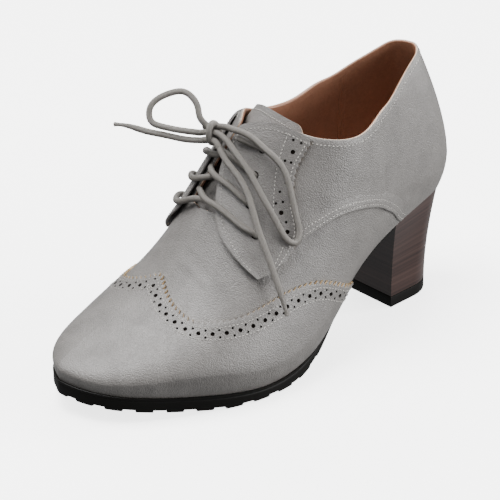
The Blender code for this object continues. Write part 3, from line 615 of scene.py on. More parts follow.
def upper_lift(p, t):
    """Height of the upper's outside over the last: the quarter's step, which starts 1 mm above its
    seam, and the creases, each a soft trough with a low ridge on both sides."""
    near_t = np.where(t > 1, 2 - t, t)
    seam = np.interp(p, seam_p, seam_t)
    per_mm = 1 / np.maximum(np.linalg.norm(slopes(p, seam)[1], axis=-1) / MM, 1e-6)
    step = np.clip(((near_t - seam) / per_mm - 1.0) / 1.5, 0, 1)
    lift = lap_at(p) * step ** 2 * (3 - 2 * step)
    place = last_point(p, t)
    for start, end, width, depth in CREASES:
        a, b = last_point(*start), last_point(*end)
        share = np.clip(((place - a) @ (b - a)) / ((b - a) @ (b - a)), -0.5, 1.5)
        off = np.linalg.norm(place - a - share[..., None] * (b - a), axis=-1) / (width * MM)
        fade = np.exp(-((share - 0.5) / 0.42) ** 4)
        lift = lift + depth * (0.7 * off ** 2 - 1) * np.exp(-off ** 2) * fade
    return lift


def upper_half(inner):
    """Half of the upper as points and quads: rows from the feather edge to the collar outside, over
    the rounded rim, and down again inside."""
    p = np.concatenate([np.linspace(0, 0.28, 48), np.linspace(0.286, 0.60, 84),
                        np.linspace(0.604, THROAT_END_P, 32), np.linspace(0.665, 0.90, 48),
                        np.linspace(0.905, 1, 26)])
    top = np.where(p < THROAT_END_P, np.minimum(top_line(p), 1), 1.0)
    t = -1 + (top + 1) * np.linspace(0, 1, 72)[:, None]
    t = np.where(inner, 2 - t, t)
    wide = np.broadcast_to(p, t.shape)
    outside = on_last(wide, t, upper_lift(wide, t))
    inside = on_last(wide, t, -UPPER_WALL)
    side = -1.0 if inner else 1.0
    outside[0] = world(feather_edge(p, side, 0.0))
    inside[0] = world(feather_edge(p, side, -UPPER_WALL))
    rim_a, rim_b = outside[-1], inside[-1]
    upward = outside[-1] - outside[-3]
    upward /= np.maximum(np.linalg.norm(upward, axis=-1), 1e-9)[:, None]
    bulge = np.where(p < THROAT_END_P, RIM_BULGE * np.linalg.norm(rim_a - rim_b, axis=-1), 0)[:, None]
    turns = (np.arange(1, 6) / 6 * np.pi)[:, None, None]
    rim = (rim_a + rim_b) / 2 + (rim_a - rim_b) / 2 * np.cos(turns) + upward * bulge * np.sin(turns)
    points = np.concatenate([outside, rim, inside[::-1]])
    rows, cols = points.shape[:2]
    quads = grid_faces(rows, cols)
    row, col = np.divmod(np.arange(len(quads)), cols - 1)
    count = len(outside)
    edge = (row >= count - 1) & (row <= count + 4)
    slots = np.where(row < count + 1, 0, np.where(row < count + 2, 2, 1))
    over_ridge = edge & (col >= np.searchsorted(p, THROAT_END_P))
    quads, slots = quads[~over_ridge], slots[~over_ridge]
    j = np.arange(cols - 1)
    under = np.stack([j + (rows - 1) * cols, j + 1 + (rows - 1) * cols, j + 1, j], -1)
    quads, slots = np.concatenate([quads, under]), np.append(slots, np.ones(len(under), int))
    return points.reshape(-1, 3), quads if inner else quads[:, ::-1], slots


points, faces, slots = together([upper_half(False), upper_half(True)])
points, faces, kept = merged(points, faces)
piece("upper_leather", points, faces, [grey_leather, brown_lining, pale_edge], "upper",
      face_slots=slots[kept], smooth=50)


# Quarter edges: each quarter's front edge is folded under and sewn down on the vamp with two rows of
# pale thread.  It swells towards the fold and runs from the heel seat up under the facing.
FOLD = np.array([
    # mm   swell
    (0.0, 0.30), (0.22, 0.58), (0.7, 0.66), (1.3, 0.56), (1.8, 0.48), (2.6, 0.55), (3.4, 0.50), (4.2, 0.32),
    (5.2, 0.22), (6.5, 0.08), (8.0, -0.12), (9.0, -0.30),
])
STITCH, STITCH_PITCH, THREAD_UP = (1.15, 0.40, 0.30), 2.0, 0.08
QUARTER_END_P, QUARTER_SEWN_P, QUARTER_ROWS, COLLAR_ROW = 0.632, 0.562, (1.8, 4.2), 2.4


def closed_layer(p, t, top, under, foot_ends=False):
    """A layer of leather as points, quads and a mark for its cut edges.  Its first row is the cut
    edge and it lies between two lifts; foot_ends lay its first and last columns on the feather edge."""
    upper_side, under_side = on_last(p, t, top), on_last(p, t, under)
    if foot_ends:
        for column, side in ((0, 1.0), (-1, -1.0)):
            for layer, lift in ((upper_side, top), (under_side, under)):
                height = np.broadcast_to(lift, p.shape)[:, column]
                layer[:, column] = world(feather_edge(p[:, column], side, height))
    rows, cols = p.shape
    quads = grid_faces(rows, cols)
    count = rows * cols
    row, col = np.arange(rows), np.arange(cols)
    first, last = row * cols, row * cols + cols - 1
    front = np.stack([col[:-1], col[1:], col[1:] + count, col[:-1] + count], -1)
    left = np.stack([first[1:], first[:-1], first[:-1] + count, first[1:] + count], -1)
    right = np.stack([last[:-1], last[1:], last[1:] + count, last[:-1] + count], -1)
    end = (rows - 1) * cols
    back = np.stack([end + col[1:], end + col[:-1], end + col[:-1] + count, end + col[1:] + count], -1)
    faces = np.concatenate([quads[:, ::-1], quads + count, front, left, right, back])
    cut = np.zeros(len(faces), int)
    cut[2 * len(quads):] = 1
    return np.concatenate([upper_side.reshape(-1, 3), under_side.reshape(-1, 3)]), faces, cut


def stitches(p, t, lift):
    """A row of stitches at even distances along a line (p, t), at a height over the last."""
    p, t = even_line(p, t, STITCH_PITCH)
    return stitch_row(on_last(p, t, lift), facing_out(p, t))


def stitch_row(at, out):
    """Stitches at given places and normals: each is a flat spindle of 15 faces along the row."""
    along = unit(np.gradient(at, axis=0))
    across = unit(np.cross(out, along))
    angle = np.arange(5) * 2 * np.pi / 5 + np.pi / 2
    ring = np.stack([np.cos(angle), np.sin(angle)], -1)
    rings = [np.column_stack([np.full(5, u), ring]) for u in (-0.32, 0.32)]
    shape = np.concatenate([[(-0.5, 0, -0.5)], *rings, [(0.5, 0, -0.5)]])
    shape *= (STITCH[0], STITCH[1] / 2, STITCH[2])
    points = at[:, None] + (shape[:, :1] * MM * along[:, None] + shape[:, 1:2] * MM * across[:, None]
                            + shape[:, 2:] * MM * out[:, None])
    j, k = np.arange(1, 6), np.roll(np.arange(1, 6), -1)
    faces = np.concatenate([np.stack([0 * j, k, j, j], -1), np.stack([j, k, k + 5, j + 5], -1),
                            np.stack([j + 5, k + 5, 0 * j + 11, 0 * j + 11], -1)])
    faces = faces[None] + (np.arange(len(at)) * 12)[:, None, None]
    return points.reshape(-1, 3), faces.reshape(-1, 4), np.zeros((len(at) * 12, 2))


def sewn(name, rows):
    """One piece of pale thread from several rows of stitches."""
    points, faces, _ = together(rows)
    piece(name, points, faces, [pale_thread])


pale_thread, tree, shader, where = new_material("pale_sewing_thread", (0.42, 0.40, 0.37), 0.6)
twist = noise(tree, where["Object"], 2500.0, 2.0)
raise_surface(tree, shader, twist.outputs["Fac"], 0.3, 0.0001)

for label, sign in (("outer", -1.0), ("inner", 1.0)):
    line_p, line_t = even_line(*(line[seam_p < QUARTER_END_P] for line in (seam_p, seam_t)), 1.2)
    line_t = line_t if label == "outer" else 2 - line_t
    lines = [beside(line_p, line_t, sign * d) for d in FOLD[:, 0]]
    p, t = (np.array([line[i] for line in lines]) for i in (0, 1))
    base = lap_at(line_p)
    sunk = np.clip((line_p - 0.556) / 0.014, 0, 1)
    swell = base + FOLD[:, 1:] * (1 - sunk) - 0.3 * sunk
    under = np.where(FOLD[:, :1] < 2.4, 0.0, base - 0.5)
    points, faces, cut = closed_layer(p, t, swell, np.minimum(under, swell - 0.05))
    if label == "inner":
        faces = faces[:, ::-1]
    piece(f"quarter_edge_{label}", points, faces, [grey_leather], smooth=50)
    rows = []
    for d in QUARTER_ROWS:
        sew_p, sew_t = beside(line_p, line_t, sign * d)
        sew_p, sew_t = sew_p[sew_p < QUARTER_SEWN_P], sew_t[sew_p < QUARTER_SEWN_P]
        lap = lap_at(even_line(sew_p, sew_t, STITCH_PITCH)[0])
        rows.append(stitches(sew_p, sew_t, lap + np.interp(d, *FOLD.T) + THREAD_UP))
    sewn(f"quarter_stitches_{label}", rows)

# Collar: one row of stitches below its raw edge.  Inside, the lining's two parts meet in a raised
# seam over the heel.
rim_p = np.linspace(0.0, 0.540, 400)
rows = []
for side in (1.0, -1.0):
    rim_t = top_line(rim_p) if side > 0 else 2 - top_line(rim_p)
    sew_p, sew_t = beside(rim_p, rim_t, side * COLLAR_ROW)
    lift = upper_lift(*even_line(sew_p, sew_t, STITCH_PITCH))
    rows.append(stitches(sew_p, sew_t, lift + THREAD_UP))
sewn("collar_stitches", rows)
LINING_SEAM = 0.2915
drop = np.linspace(0, 1, 30)
for label, inner in (("outer", False), ("inner", True)):
    seam_line = top_line(LINING_SEAM) - 0.012 - drop * (top_line(LINING_SEAM) + 0.75)
    wide_p = LINING_SEAM + np.array([-0.0075, -0.0068, -0.0012, 0.0, 0.0012, 0.0068, 0.0075])[:, None]
    p, t = np.broadcast_arrays(wide_p, 2 - seam_line if inner else seam_line)
    raise_by = np.array([-0.1, 0.16, 0.20, 0.05, 0.20, 0.16, -0.1])[:, None]
    points, faces, cut = closed_layer(p, t, -UPPER_WALL + 0.2 + 0 * p, -UPPER_WALL - raise_by)
    piece(f"lining_seam_{label}", points, faces, [brown_lining])


# Wing cap: a second layer of the same leather over the toe, its edge pinked with a zigzag knife
# and cut raw.  It peaks on the ridge, dips on both sides and runs back to the waist.
WING_EDGE = np.array([
    # p     t
    (0.435, -1.0), (0.460, -0.5), (0.487, 0.02), (0.545, 0.155), (0.602, 0.228), (0.670, 0.300),
    (0.727, 0.403), (0.760, 0.500), (0.779, 0.630), (0.787, 0.740), (0.788, 0.820), (0.783, 0.910),
    (0.775, 1.000),
])
WING_TOP, WING_UNDER = 1.35, 0.12
TOOTH_PITCH, TOOTH_DEPTH = 3.0, 1.2
BAND_SHARE = 0.25           # part of the way to the toe that the punched band takes


def across_both(rows):
    """An edge of the outer half as (p, t) continued over the ridge, mirrored, to the inner half."""
    back = rows[-2::-1].copy()
    back[:, 1] = 2 - back[:, 1]
    return np.concatenate([rows, back])


wing_p, wing_t = line_through(across_both(WING_EDGE), 900)
tooth_p, tooth_t = even_line(wing_p, wing_t, TOOTH_PITCH / 4)
tooth = TOOTH_DEPTH * np.abs((np.arange(len(tooth_p)) % 4) - 2) - TOOTH_DEPTH
# The edge swings across its line four samples a tooth, and the grid's next rows swing less.
lines = [beside(tooth_p, tooth_t, way) for way in (tooth, tooth * 0.7 + 0.50, 1.6, 2.6)]
shares = np.linspace(0, BAND_SHARE, 12)[1:, None]
band_p = np.concatenate([[line[0] for line in lines], lines[-1][0] + (1 - lines[-1][0]) * shares])
band_t = np.concatenate([[line[1] for line in lines], lines[-1][1] + 0 * shares])
# Columns past the feather edge are left out, and none turns back where rows crowd at the peak.
on_shoe = (np.abs(band_t - 1) < 1.995).all(0)
on_shoe[[0, -1]] = True
band_p, band_t = band_p[:, on_shoe], np.maximum.accumulate(band_t[:, on_shoe], axis=1)
shares = np.linspace(0, 1, 34)[:, None]
toe_p, toe_t = band_p[-1] + (1 - band_p[-1]) * shares, band_t[-1] + 0 * shares
lift = np.full(band_p.shape, WING_TOP)
lift[0] -= 0.22
points, faces, cut = closed_layer(band_p, band_t, lift, WING_UNDER, foot_ends=True)
wing = piece("wing_cap_band", points, faces, [grey_leather, tan_edge], "wing_cap",
             face_slots=cut)
points, faces, _ = closed_layer(toe_p, toe_t, WING_TOP + 0 * toe_p, WING_UNDER, foot_ends=True)
piece("wing_cap_toe", points, faces, [grey_leather], "wing_cap")


# Broguing of the wing: large holes in a row along its edge, a pair of small ones between each two,
# punched through the wing, with a near-black disc at the bottom of each hole as painted shade.  Where
# holes would run into each other, the later is left out.  A row of stitches lies on both sides of them.
LARGE_HOLE, SMALL_HOLE = 1.10, 0.62
HOLE_PITCH, HOLE_LINE, PAIR_SPREAD, FIRST_HOLE, HOLE_GAP = 6.8, 5.4, 1.8, 5.0, 0.5
WING_ROWS = (2.5, 8.4)


def cutter(name, p, t, radius, low, high, sides=14):
    """Round punches as one mesh: a prism along the last's normal at each (p, t)."""
    n = facing_out(p, t)
    first = unit(np.cross(n, (0.2, 0.5, 0.8)))
    second = np.cross(n, first)
    angle = np.arange(sides) * 2 * np.pi / sides
    ring = np.cos(angle)[None, :, None] * first[:, None] + np.sin(angle)[None, :, None] * second[:, None]
    ring = last_point(p, t)[:, None] + ring * (np.broadcast_to(radius, p.shape) * MM)[:, None, None]
    points = np.concatenate([ring + n[:, None] * (np.broadcast_to(h, p.shape) * MM)[:, None, None]
                             for h in (low, high)], 1)
    j = np.arange(sides)
    wall = [[a, b, b + sides, a + sides] for a, b in zip(j, np.roll(j, -1))]
    caps = [list(j[::-1]), list(j + sides)]
    faces = [[v + k * 2 * sides for v in loop] for k in range(len(p)) for loop in wall + caps]
    mesh = bpy.data.meshes.new(name)
    mesh.from_pydata(points.reshape(-1, 3).tolist(), [], faces)
    obj = bpy.data.objects.new(name, mesh)
    bpy.context.scene.collection.objects.link(obj)
    return obj


def punch(target, punches):
    """Cuts the punches out of a piece and removes them."""
    cut = target.modifiers.new("holes", "BOOLEAN")
    cut.operation = "DIFFERENCE"
    cut.solver = "EXACT"
    cut.object = punches
    cut_mesh = bpy.data.meshes.new_from_object(target.evaluated_get(bpy.context.evaluated_depsgraph_get()))
    target.modifiers.clear()
    old, target.data = target.data, cut_mesh
    bpy.data.meshes.remove(old)
    bpy.data.objects.remove(punches)
    cut_mesh.set_sharp_from_angle(angle=np.radians(40))


def painted_shade_discs(name, p, t, radius, low, high):
    """Painted shade in the holes: a thin near-black disc at the bottom of each one, a hair wider than the
    hole.
    """
    discs = cutter(name, p, t, radius + 0.02, low, high)
    discs.data.materials.append(hole_shade_material)
    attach(discs, "root")


# Near-black, barely reflecting discs at the bottom of the holes: painted shade, with a faint bump.
hole_shade_material, tree, shader, where = new_material("painted_hole_shade", (0.010, 0.007, 0.005), 0.9)
shade_disc_grain = noise(tree, where["Object"], 3000.0, 2.0)
raise_surface(tree, shader, shade_disc_grain.outputs["Fac"], 0.3, 0.0001)
shader.inputs["Specular IOR Level"].default_value = 0.1

row_p, row_t = beside(*even_line(wing_p, wing_t, 1.0), HOLE_LINE)
run = run_along(last_point(row_p, row_t)) / MM
half_run = np.interp(1.0, row_t, run)
steps = np.arange(0, half_run - FIRST_HOLE, HOLE_PITCH)
large_at = np.concatenate([half_run - steps[::-1], half_run + steps[1:]])
small_at = np.concatenate([half_run - steps[::-1] + HOLE_PITCH / 2, half_run + steps + HOLE_PITCH / 2])
small_at = np.unique(np.round(small_at[small_at < 2 * half_run - FIRST_HOLE], 3))


def place_on_row(at, side_step):
    """(p, t) at distances along the hole row, moved sideways."""
    line_p, line_t = beside(row_p, row_t, side_step) if side_step else (row_p, row_t)
    return np.interp(at, run, line_p), np.interp(at, run, line_t)


groups = [(large_at, 0.0, LARGE_HOLE)]
groups += [(small_at, step, SMALL_HOLE) for step in (-PAIR_SPREAD, PAIR_SPREAD)]
hole_p, hole_t = np.concatenate([place_on_row(at, step) for at, step, _ in groups], axis=1)
hole_radius = np.concatenate([np.full(len(at), radius) for at, _, radius in groups])
places = last_point(hole_p, hole_t)
apart = np.linalg.norm(places[:, None] - places[None], axis=-1) / MM
crowded = apart < hole_radius[:, None] + hole_radius[None] + HOLE_GAP
kept = ~(np.triu(crowded, 1).any(0))
hole_p, hole_t, hole_radius = hole_p[kept], hole_t[kept], hole_radius[kept]
punch(wing, cutter("punches", hole_p, hole_t, hole_radius, -0.4, 2.2))
# Near-black discs at the bottom of the wing's holes: painted shade.
painted_shade_discs("wing_hole_shade_discs", hole_p, hole_t, hole_radius, 0.14, 0.26)
wing_rows = []
for distance in WING_ROWS:
    sew_p, sew_t = beside(*even_line(wing_p, wing_t, 1.0), distance)
    wing_rows.append(stitches(sew_p[3:-3], sew_t[3:-3], WING_TOP + THREAD_UP))
sewn("wing_stitches", wing_rows)


# Facings: the outer and inner flap that carry four eyelets each.  Their front edge is folded and
# stands off the vamp, and their rear edge is pinked and raw, with punched holes along it.
FACING_EDGES = np.array([
    # v     p_front t_front p_rear t_rear
    (0.00, 0.558, 0.950, 0.490, 0.540), (0.15, 0.585, 0.935, 0.507, 0.530),
    (0.30, 0.607, 0.900, 0.524, 0.515), (0.45, 0.627, 0.840, 0.537, 0.470),
    (0.60, 0.646, 0.770, 0.545, 0.405), (0.72, 0.657, 0.700, 0.548, 0.350),
    (0.82, 0.658, 0.600, 0.562, 0.325), (0.91, 0.652, 0.490, 0.590, 0.325),
    (1.00, 0.640, 0.385, 0.613, 0.340),
])
EYELETS = np.array([(0.552, 0.715), (0.577, 0.672), (0.600, 0.610), (0.612, 0.505)])
EYELET_RADIUS = 2.3
FACING_UNDER, FACING_THICK, FACING_LIFT, THROAT_GAP = 0.95, 1.15, 1.4, 0.10
FACING_HOLES = np.array([
    # v     w     radius
    (0.075, 0.805, 0.68), (0.071, 0.905, 0.68), (0.169, 0.872, 1.15), (0.260, 0.835, 0.68),
    (0.256, 0.910, 0.68), (0.340, 0.877, 1.15), (0.417, 0.898, 0.68), (0.487, 0.824, 0.68),
    (0.571, 0.765, 0.68), (0.549, 0.856, 0.68), (0.629, 0.810, 1.15), (0.689, 0.846, 0.68),
    (0.706, 0.767, 0.68), (0.753, 0.850, 1.15),
])
P_FRONT, T_FRONT, P_REAR, T_REAR = columns(FACING_EDGES)


def facing_place(v, w, inner):
    """(p, t) on a facing: v runs from the collar to its lower tip, w from front to rear edge."""
    front_t = T_FRONT(v) - (THROAT_GAP * np.maximum(1 - v / 0.6, 0) if inner else 0)
    p = P_FRONT(v) + (P_REAR(v) - P_FRONT(v)) * w
    t = front_t + (T_REAR(v) - front_t) * w
    return p, (2 - t if inner else t)


def facing_height(w):
    """Height of a facing's underside: its front edge stands off the vamp."""
    return FACING_UNDER + FACING_LIFT * (1 - np.clip(w, 0, 1)) ** 2


EYELET_W = (0.57, 0.38, 0.40, 0.60)
steps = np.linspace(0, 1, 60)
FACING_SEAMS = [
    (0.05 + 0.89 * steps, 0.075 + 0.02 * steps), (0.05 + 0 * steps, 0.075 + 0.86 * steps),
    (0.05 + 0.92 * steps, 0.960 - 0.03 * steps), (0.84 + 0.12 * steps, 0.83 - 0.02 * steps),
    (0.05 + 0.78 * steps, np.interp(steps, (0, 0.3, 0.55, 0.75, 0.90, 0.96, 1),
                                    (0.715, 0.775, 0.760, 0.720, 0.745, 0.80, 0.93))),
]
for label, inner in (("outer", False), ("inner", True)):
    v = np.linspace(0, 1, 121)[:, None]
    w = np.concatenate([[0, 0.012, 0.03], np.linspace(0.06, 0.94, 26), [0.965, 0.985, 1.0]])
    front, rear = last_point(*facing_place(v, 0.0, inner)), last_point(*facing_place(v, 1.0, inner))
    width = np.linalg.norm(front - rear, axis=-1) / MM
    run = run_along(last_point(*facing_place(v[:, 0], 1.0, inner))) / MM
    teeth = 0.5 * np.abs((run / TOOTH_PITCH) % 1 - 0.5) * 4 - 0.5
    pinked = np.clip((0.9 - v[:, 0]) / 0.05, 0, 1)
    spread = 1 + (teeth * pinked)[:, None] / width * np.clip((w - 0.93) / 0.07, 0, 1)
    p, t = facing_place(v, w * spread, inner)
    under = facing_height(w) + 0 * p
    drop = np.interp(w, [0, 0.012, 0.03, 0.985, 1], [0.45, 0.12, 0, 0, 0.22])
    top = under + FACING_THICK - drop
    points, faces, _ = closed_layer(p.T[::-1], t.T[::-1], top.T[::-1], under.T[::-1])
    if not inner:
        faces = faces[:, ::-1]
    raw = np.arange(len(faces)) - 2 * (len(w) - 1) * (len(v) - 1)
    facing = piece(f"facing_{label}_leather", points, faces, [grey_leather, tan_edge],
                   f"facing_{label}", face_slots=(raw >= 0) & (raw < len(v) - 1))
    hole_p, hole_t = facing_place(FACING_HOLES[:, 0], FACING_HOLES[:, 1], inner)
    hole_p = np.append(hole_p, EYELETS[:, 0])
    hole_t = np.append(hole_t, 2 - EYELETS[:, 1] if inner else EYELETS[:, 1])
    radius = np.append(FACING_HOLES[:, 2], np.full(4, EYELET_RADIUS))
    punch(facing, cutter("punches", hole_p, hole_t, radius, -0.5, 6.0))
    low = facing_height(np.append(FACING_HOLES[:, 1], EYELET_W))
    # Near-black discs at the bottom of the facing's holes and eyelets: painted shade.
    painted_shade_discs(f"facing_{label}_hole_shade_discs", hole_p, hole_t, radius, low + 0.06, low + 0.18)
    rows = []
    for sew_v, sew_w in FACING_SEAMS:
        sew_p, sew_t = facing_place(sew_v, sew_w, inner)
        even_v = np.linspace(0, 1, len(even_line(sew_p, sew_t, STITCH_PITCH)[0]))
        at_w = np.interp(even_v, np.linspace(0, 1, len(sew_w)), sew_w)
        rows.append(stitches(sew_p, sew_t, facing_height(at_w) + FACING_THICK + 0.06))
    sewn(f"facing_stitches_{label}", rows)


# Tongue: a soft strip of the same leather under the throat, arched from side to side, its end
# cut raw above the collar and stitched round.
TONGUE_THICK, TONGUE_CLEAR, TONGUE_SAG = 1.8, 0.7, 3.0
TONGUE_T, TONGUE_LOW_P, TONGUE_TOP_P, TONGUE_BOW, TONGUE_CORNER = 0.55, 0.675, 0.525, -0.042, 0.026


def tongue_point(v, w, depth):
    """Point of the tongue below the last: an arch over w from -1 to 1, its crown sagging."""
    corner = np.clip((np.abs(w) - 0.68) / 0.32, 0, 1) ** 2.5 * TONGUE_CORNER
    p = TONGUE_LOW_P + (TONGUE_TOP_P + TONGUE_BOW * w ** 2 + corner - TONGUE_LOW_P) * v
    near, far = on_last(p, TONGUE_T, -depth), on_last(p, 2 - TONGUE_T, -depth)
    crown = on_last(p, 1.0, -depth - TONGUE_SAG)
    share = w[..., None]
    return crown + (near - far) / 2 * share + ((near + far) / 2 - crown) * np.abs(share) ** 1.8


v, w = np.meshgrid(np.linspace(0, 1, 60), np.linspace(-1, 1, 61), indexing="ij")
round_edge = 0.3 * (np.maximum(np.abs(w) - 0.97, 0) / 0.03) ** 2
depth = TONGUE_CLEAR + UPPER_WALL
over = tongue_point(v, w, depth + round_edge)
below = tongue_point(v, w, depth + TONGUE_THICK - round_edge)
rows, cols = v.shape
quads = grid_faces(rows, cols)
ring = np.concatenate([np.arange(cols), np.arange(1, rows) * cols + cols - 1,
                       (rows - 1) * cols + np.arange(cols - 2, -1, -1), np.arange(rows - 2, 0, -1) * cols])
rim = np.stack([ring, np.roll(ring, -1), np.roll(ring, -1) + rows * cols, ring + rows * cols], -1)
faces = np.concatenate([quads, quads[:, ::-1] + rows * cols, rim[:, ::-1]])
slots = np.repeat((0, 1, 2), (len(quads), len(quads), len(rim)))
points = np.concatenate([over.reshape(-1, 3), below.reshape(-1, 3)])
piece("tongue_leather", points, faces, [grey_leather, brown_lining, pale_edge], "tongue",
      face_slots=slots)
sew_w = np.linspace(-0.93, 0.93, 38)
sew_v = np.full(38, 0.952)
sew_at = tongue_point(sew_v, sew_w, depth)
sew_out = np.cross(tongue_point(sew_v, sew_w + 0.01, depth) - sew_at,
                   tongue_point(sew_v + 0.01, sew_w, depth) - sew_at)
sew_out *= np.sign(sew_out[:, 2:]) / np.linalg.norm(sew_out, axis=1)[:, None]
sewn("tongue_stitches", [stitch_row(sew_at + sew_out * THREAD_UP * MM, sew_out)])


# Lace through the eyelets: each strand comes up out of its eyelet, crosses over the facing's front
# edge and dives under the other facing towards the next eyelet up.  The top pair runs to the knot.
EYELET_LIFT = 3.9
STRANDS = {
    1: [[(0.560, 0.79, 1, 4.9), (0.567, 0.87, 1, 6.2)],
        [(0.562, 0.78, -1, 5.1), (0.570, 0.86, -1, 6.4)]],
    2: [[(0.583, 0.77, 1, 4.5), (0.588, 0.87, 1, 5.1), (0.590, 0.97, 1, 4.4), (0.589, 0.92, -1, 2.0)],
        [(0.588, 0.76, -1, 4.8), (0.594, 0.84, -1, 5.1), (0.597, 0.96, -1, 3.6), (0.594, 0.97, 1, 2.4)]],
    3: [[(0.605, 0.68, 1, 4.4), (0.610, 0.775, 1, 4.8), (0.615, 0.888, 1, 5.1), (0.614, 0.99, 1, 3.6),
         (0.609, 0.90, -1, 1.0)],
        [(0.615, 0.71, -1, 4.8), (0.624, 0.80, -1, 5.1), (0.625, 0.92, -1, 3.6), (0.622, 0.99, 1, 2.4),
         (0.618, 0.94, 1, 1.6)]],
    4: [[(0.622, 0.575, 1, 4.5), (0.630, 0.667, 1, 4.9), (0.638, 0.790, 1, 5.1), (0.643, 0.90, 1, 3.9),
         (0.642, 0.99, 1, 2.8), (0.636, 0.87, -1, 1.0)],
        [(0.634, 0.61, -1, 4.9), (0.648, 0.70, -1, 5.1), (0.652, 0.82, -1, 4.0), (0.650, 0.95, -1, 2.9),
         (0.647, 0.94, 1, 1.9), (0.642, 0.85, 1, 1.4)]],
}
for number, halves in STRANDS.items():
    for side, (label, rows) in zip((1, -1), zip(("outer", "inner"), halves)):
        eye_p, eye_t = EYELETS[number - 1]
        to_p, to_t = (rows[0][0] - eye_p) * 0.3, (rows[0][1] - eye_t) * 0.3
        route = np.array([(eye_p, eye_t - 0.003, side, 0.6), (eye_p, eye_t, side, 2.2),
                          (eye_p + to_p, eye_t + to_t, side, EYELET_LIFT), *rows])
        place = on_last(route[:, 0], np.where(route[:, 2] > 0, route[:, 1], 2 - route[:, 1]), route[:, 3])
        path = even(through(place, 300), 1.0 * MM)
        points, faces, uv = tube(path, LACE_RADIUS * MM)
        piece(f"lace_{label}_strand_{number}", points, faces, [lace_material],
              f"lace_cross_{number}" if number > 1 else f"lace_top_{label}", uv=uv)


# Insole: a board covered with the brown lining, dished a little along its middle and laid on the
# outsole inside the upper.
INSOLE_THICK, INSOLE_CLEAR, INSOLE_DISH = 2.0, 0.4, 0.5
p = np.concatenate([np.linspace(0, 0.2, 30), np.linspace(0.21, 0.9, 70), np.linspace(0.91, 1, 16)])
p, w = np.meshgrid(p, np.linspace(-1, 1, 31), indexing="ij")
left, right = (feather_edge(p, side, -UPPER_WALL - INSOLE_CLEAR) for side in (1.0, -1.0))
board = (left + right) / 2 + (left - right) / 2 * w[..., None]
drop = INSOLE_DISH * (1 - w ** 2) + 0.35 * (np.maximum(np.abs(w) - 0.94, 0) / 0.06) ** 2
tops, lows = board.copy(), board.copy()
lows[..., 2] = EDGE_Z(board[..., 1])
tops[..., 2] = lows[..., 2] + INSOLE_THICK - drop
rows, cols = p.shape
quads = grid_faces(rows, cols)
edges = [np.arange(rows) * cols, np.arange(rows) * cols + cols - 1]
rims = [np.stack([e[:-1], e[1:], e[1:] + rows * cols, e[:-1] + rows * cols], -1) for e in edges]
faces = np.concatenate([quads, quads[:, ::-1] + rows * cols, rims[0][:, ::-1], rims[1]])
points, faces, _ = merged(np.concatenate([world(tops).reshape(-1, 3), world(lows).reshape(-1, 3)]), faces)
piece("insole_lining", points, faces, [brown_lining], "insole")


# Outsole: black rubber from toe to heel breast, with a narrow bead along its top edge, a straight
# wall and square lugs cut into its lower edge round the forefoot.
SOLE_BACK, LUG_FIRST_P = 0.3125, 0.545
LUG_PITCH, LUG_NOTCH, LUG_DEEP, LUG_HIGH = 15.0, 6.5, 3.0, 1.5
rubber, tree, shader, where = new_material("black_rubber", (0.0045, 0.0040, 0.0035), 0.42)
shader.inputs["Specular IOR Level"].default_value = 0.12
speckle = noise(tree, where["Object"], 900.0, 4.0)
smear = noise(tree, where["Object"], 60.0, 3.0)
sheen = node(tree, "ShaderNodeMapRange", {"To Min": 0.34, "To Max": 0.56}, Value=smear.outputs["Fac"])
tree.links.new(sheen.outputs["Result"], shader.inputs["Roughness"])
raise_surface(tree, shader, speckle.outputs["Fac"], 0.15, 0.0002)

SOLE_PROFILE = np.array([
    # depth  out     (depth: share of the thickness from the top; out: mm past the welt line)
    (0.00, -0.9), (0.00, -0.45), (0.03, -0.1), (0.10, 0.0), (0.17, -0.1), (0.20, -0.3), (0.24, -0.12),
    (0.30, -0.05), (0.60, 0.0), (0.80, 0.0), (0.93, -0.1), (1.00, -0.7),
])
dense_p = np.linspace(SOLE_BACK, 1, 3000)
outline = [feather_edge(dense_p, side, WELT(feather_edge(dense_p, side)[..., 1])) for side in (1.0, -1.0)]
sides_p, sides_notch = [], []
for side, line in zip((1.0, -1.0), outline):
    run = run_along(line[:, :2])
    first = run[-1] - np.interp(LUG_FIRST_P, dense_p, run)
    middles = np.arange(LUG_PITCH / 2, first, LUG_PITCH)
    corners = np.array([-0.5, -0.5, 0.5, 0.5]) * LUG_NOTCH + np.array([-0.2, 0.2, -0.2, 0.2])
    edges = (middles[:, None] + corners).ravel()
    at = np.unique(np.concatenate([np.linspace(0, run[-1], 230), edges]))
    inside = (np.abs(at[:, None] - middles) < LUG_NOTCH / 2).any(1)
    sides_p.append(np.interp(run[-1] - at, run, dense_p))
    sides_notch.append(inside.astype(float))
p = np.concatenate([sides_p[0][::-1], sides_p[1][1:]])
notch = np.concatenate([sides_notch[0][::-1], sides_notch[1][1:]])
side = np.concatenate([np.ones(len(sides_p[0])), -np.ones(len(sides_p[1]) - 1)])
line = feather_edge(p, side)
welt = WELT(line[:, 1])
rings = []
for share, out in SOLE_PROFILE:
    q = feather_edge(p, side, welt + out)
    top, low = EDGE_Z(q[:, 1]) - 0.3, np.maximum(EDGE_Z(q[:, 1]) - SOLE_THICK(q[:, 1]), 0)
    q[:, 2] = top + (low - top) * share
    deep = (share >= 0.8) * notch
    q[:, 2] = np.maximum(q[:, 2], low + LUG_HIGH * deep)
    rings.append(q)
for inset, cut_high in ((LUG_DEEP, 1.0), (LUG_DEEP + 0.05, 0.0), (LUG_DEEP + 2.4, 0.0)):
    q = feather_edge(p, side, welt - inset)
    low = np.maximum(EDGE_Z(q[:, 1]) - SOLE_THICK(q[:, 1]), 0)
    q[:, 2] = low + LUG_HIGH * notch * cut_high
    rings.append(q)
half = np.arange(len(sides_p[0]))
flip = len(p) - 1 - half
ring_count = len(rings)
points = world(np.concatenate(rings))
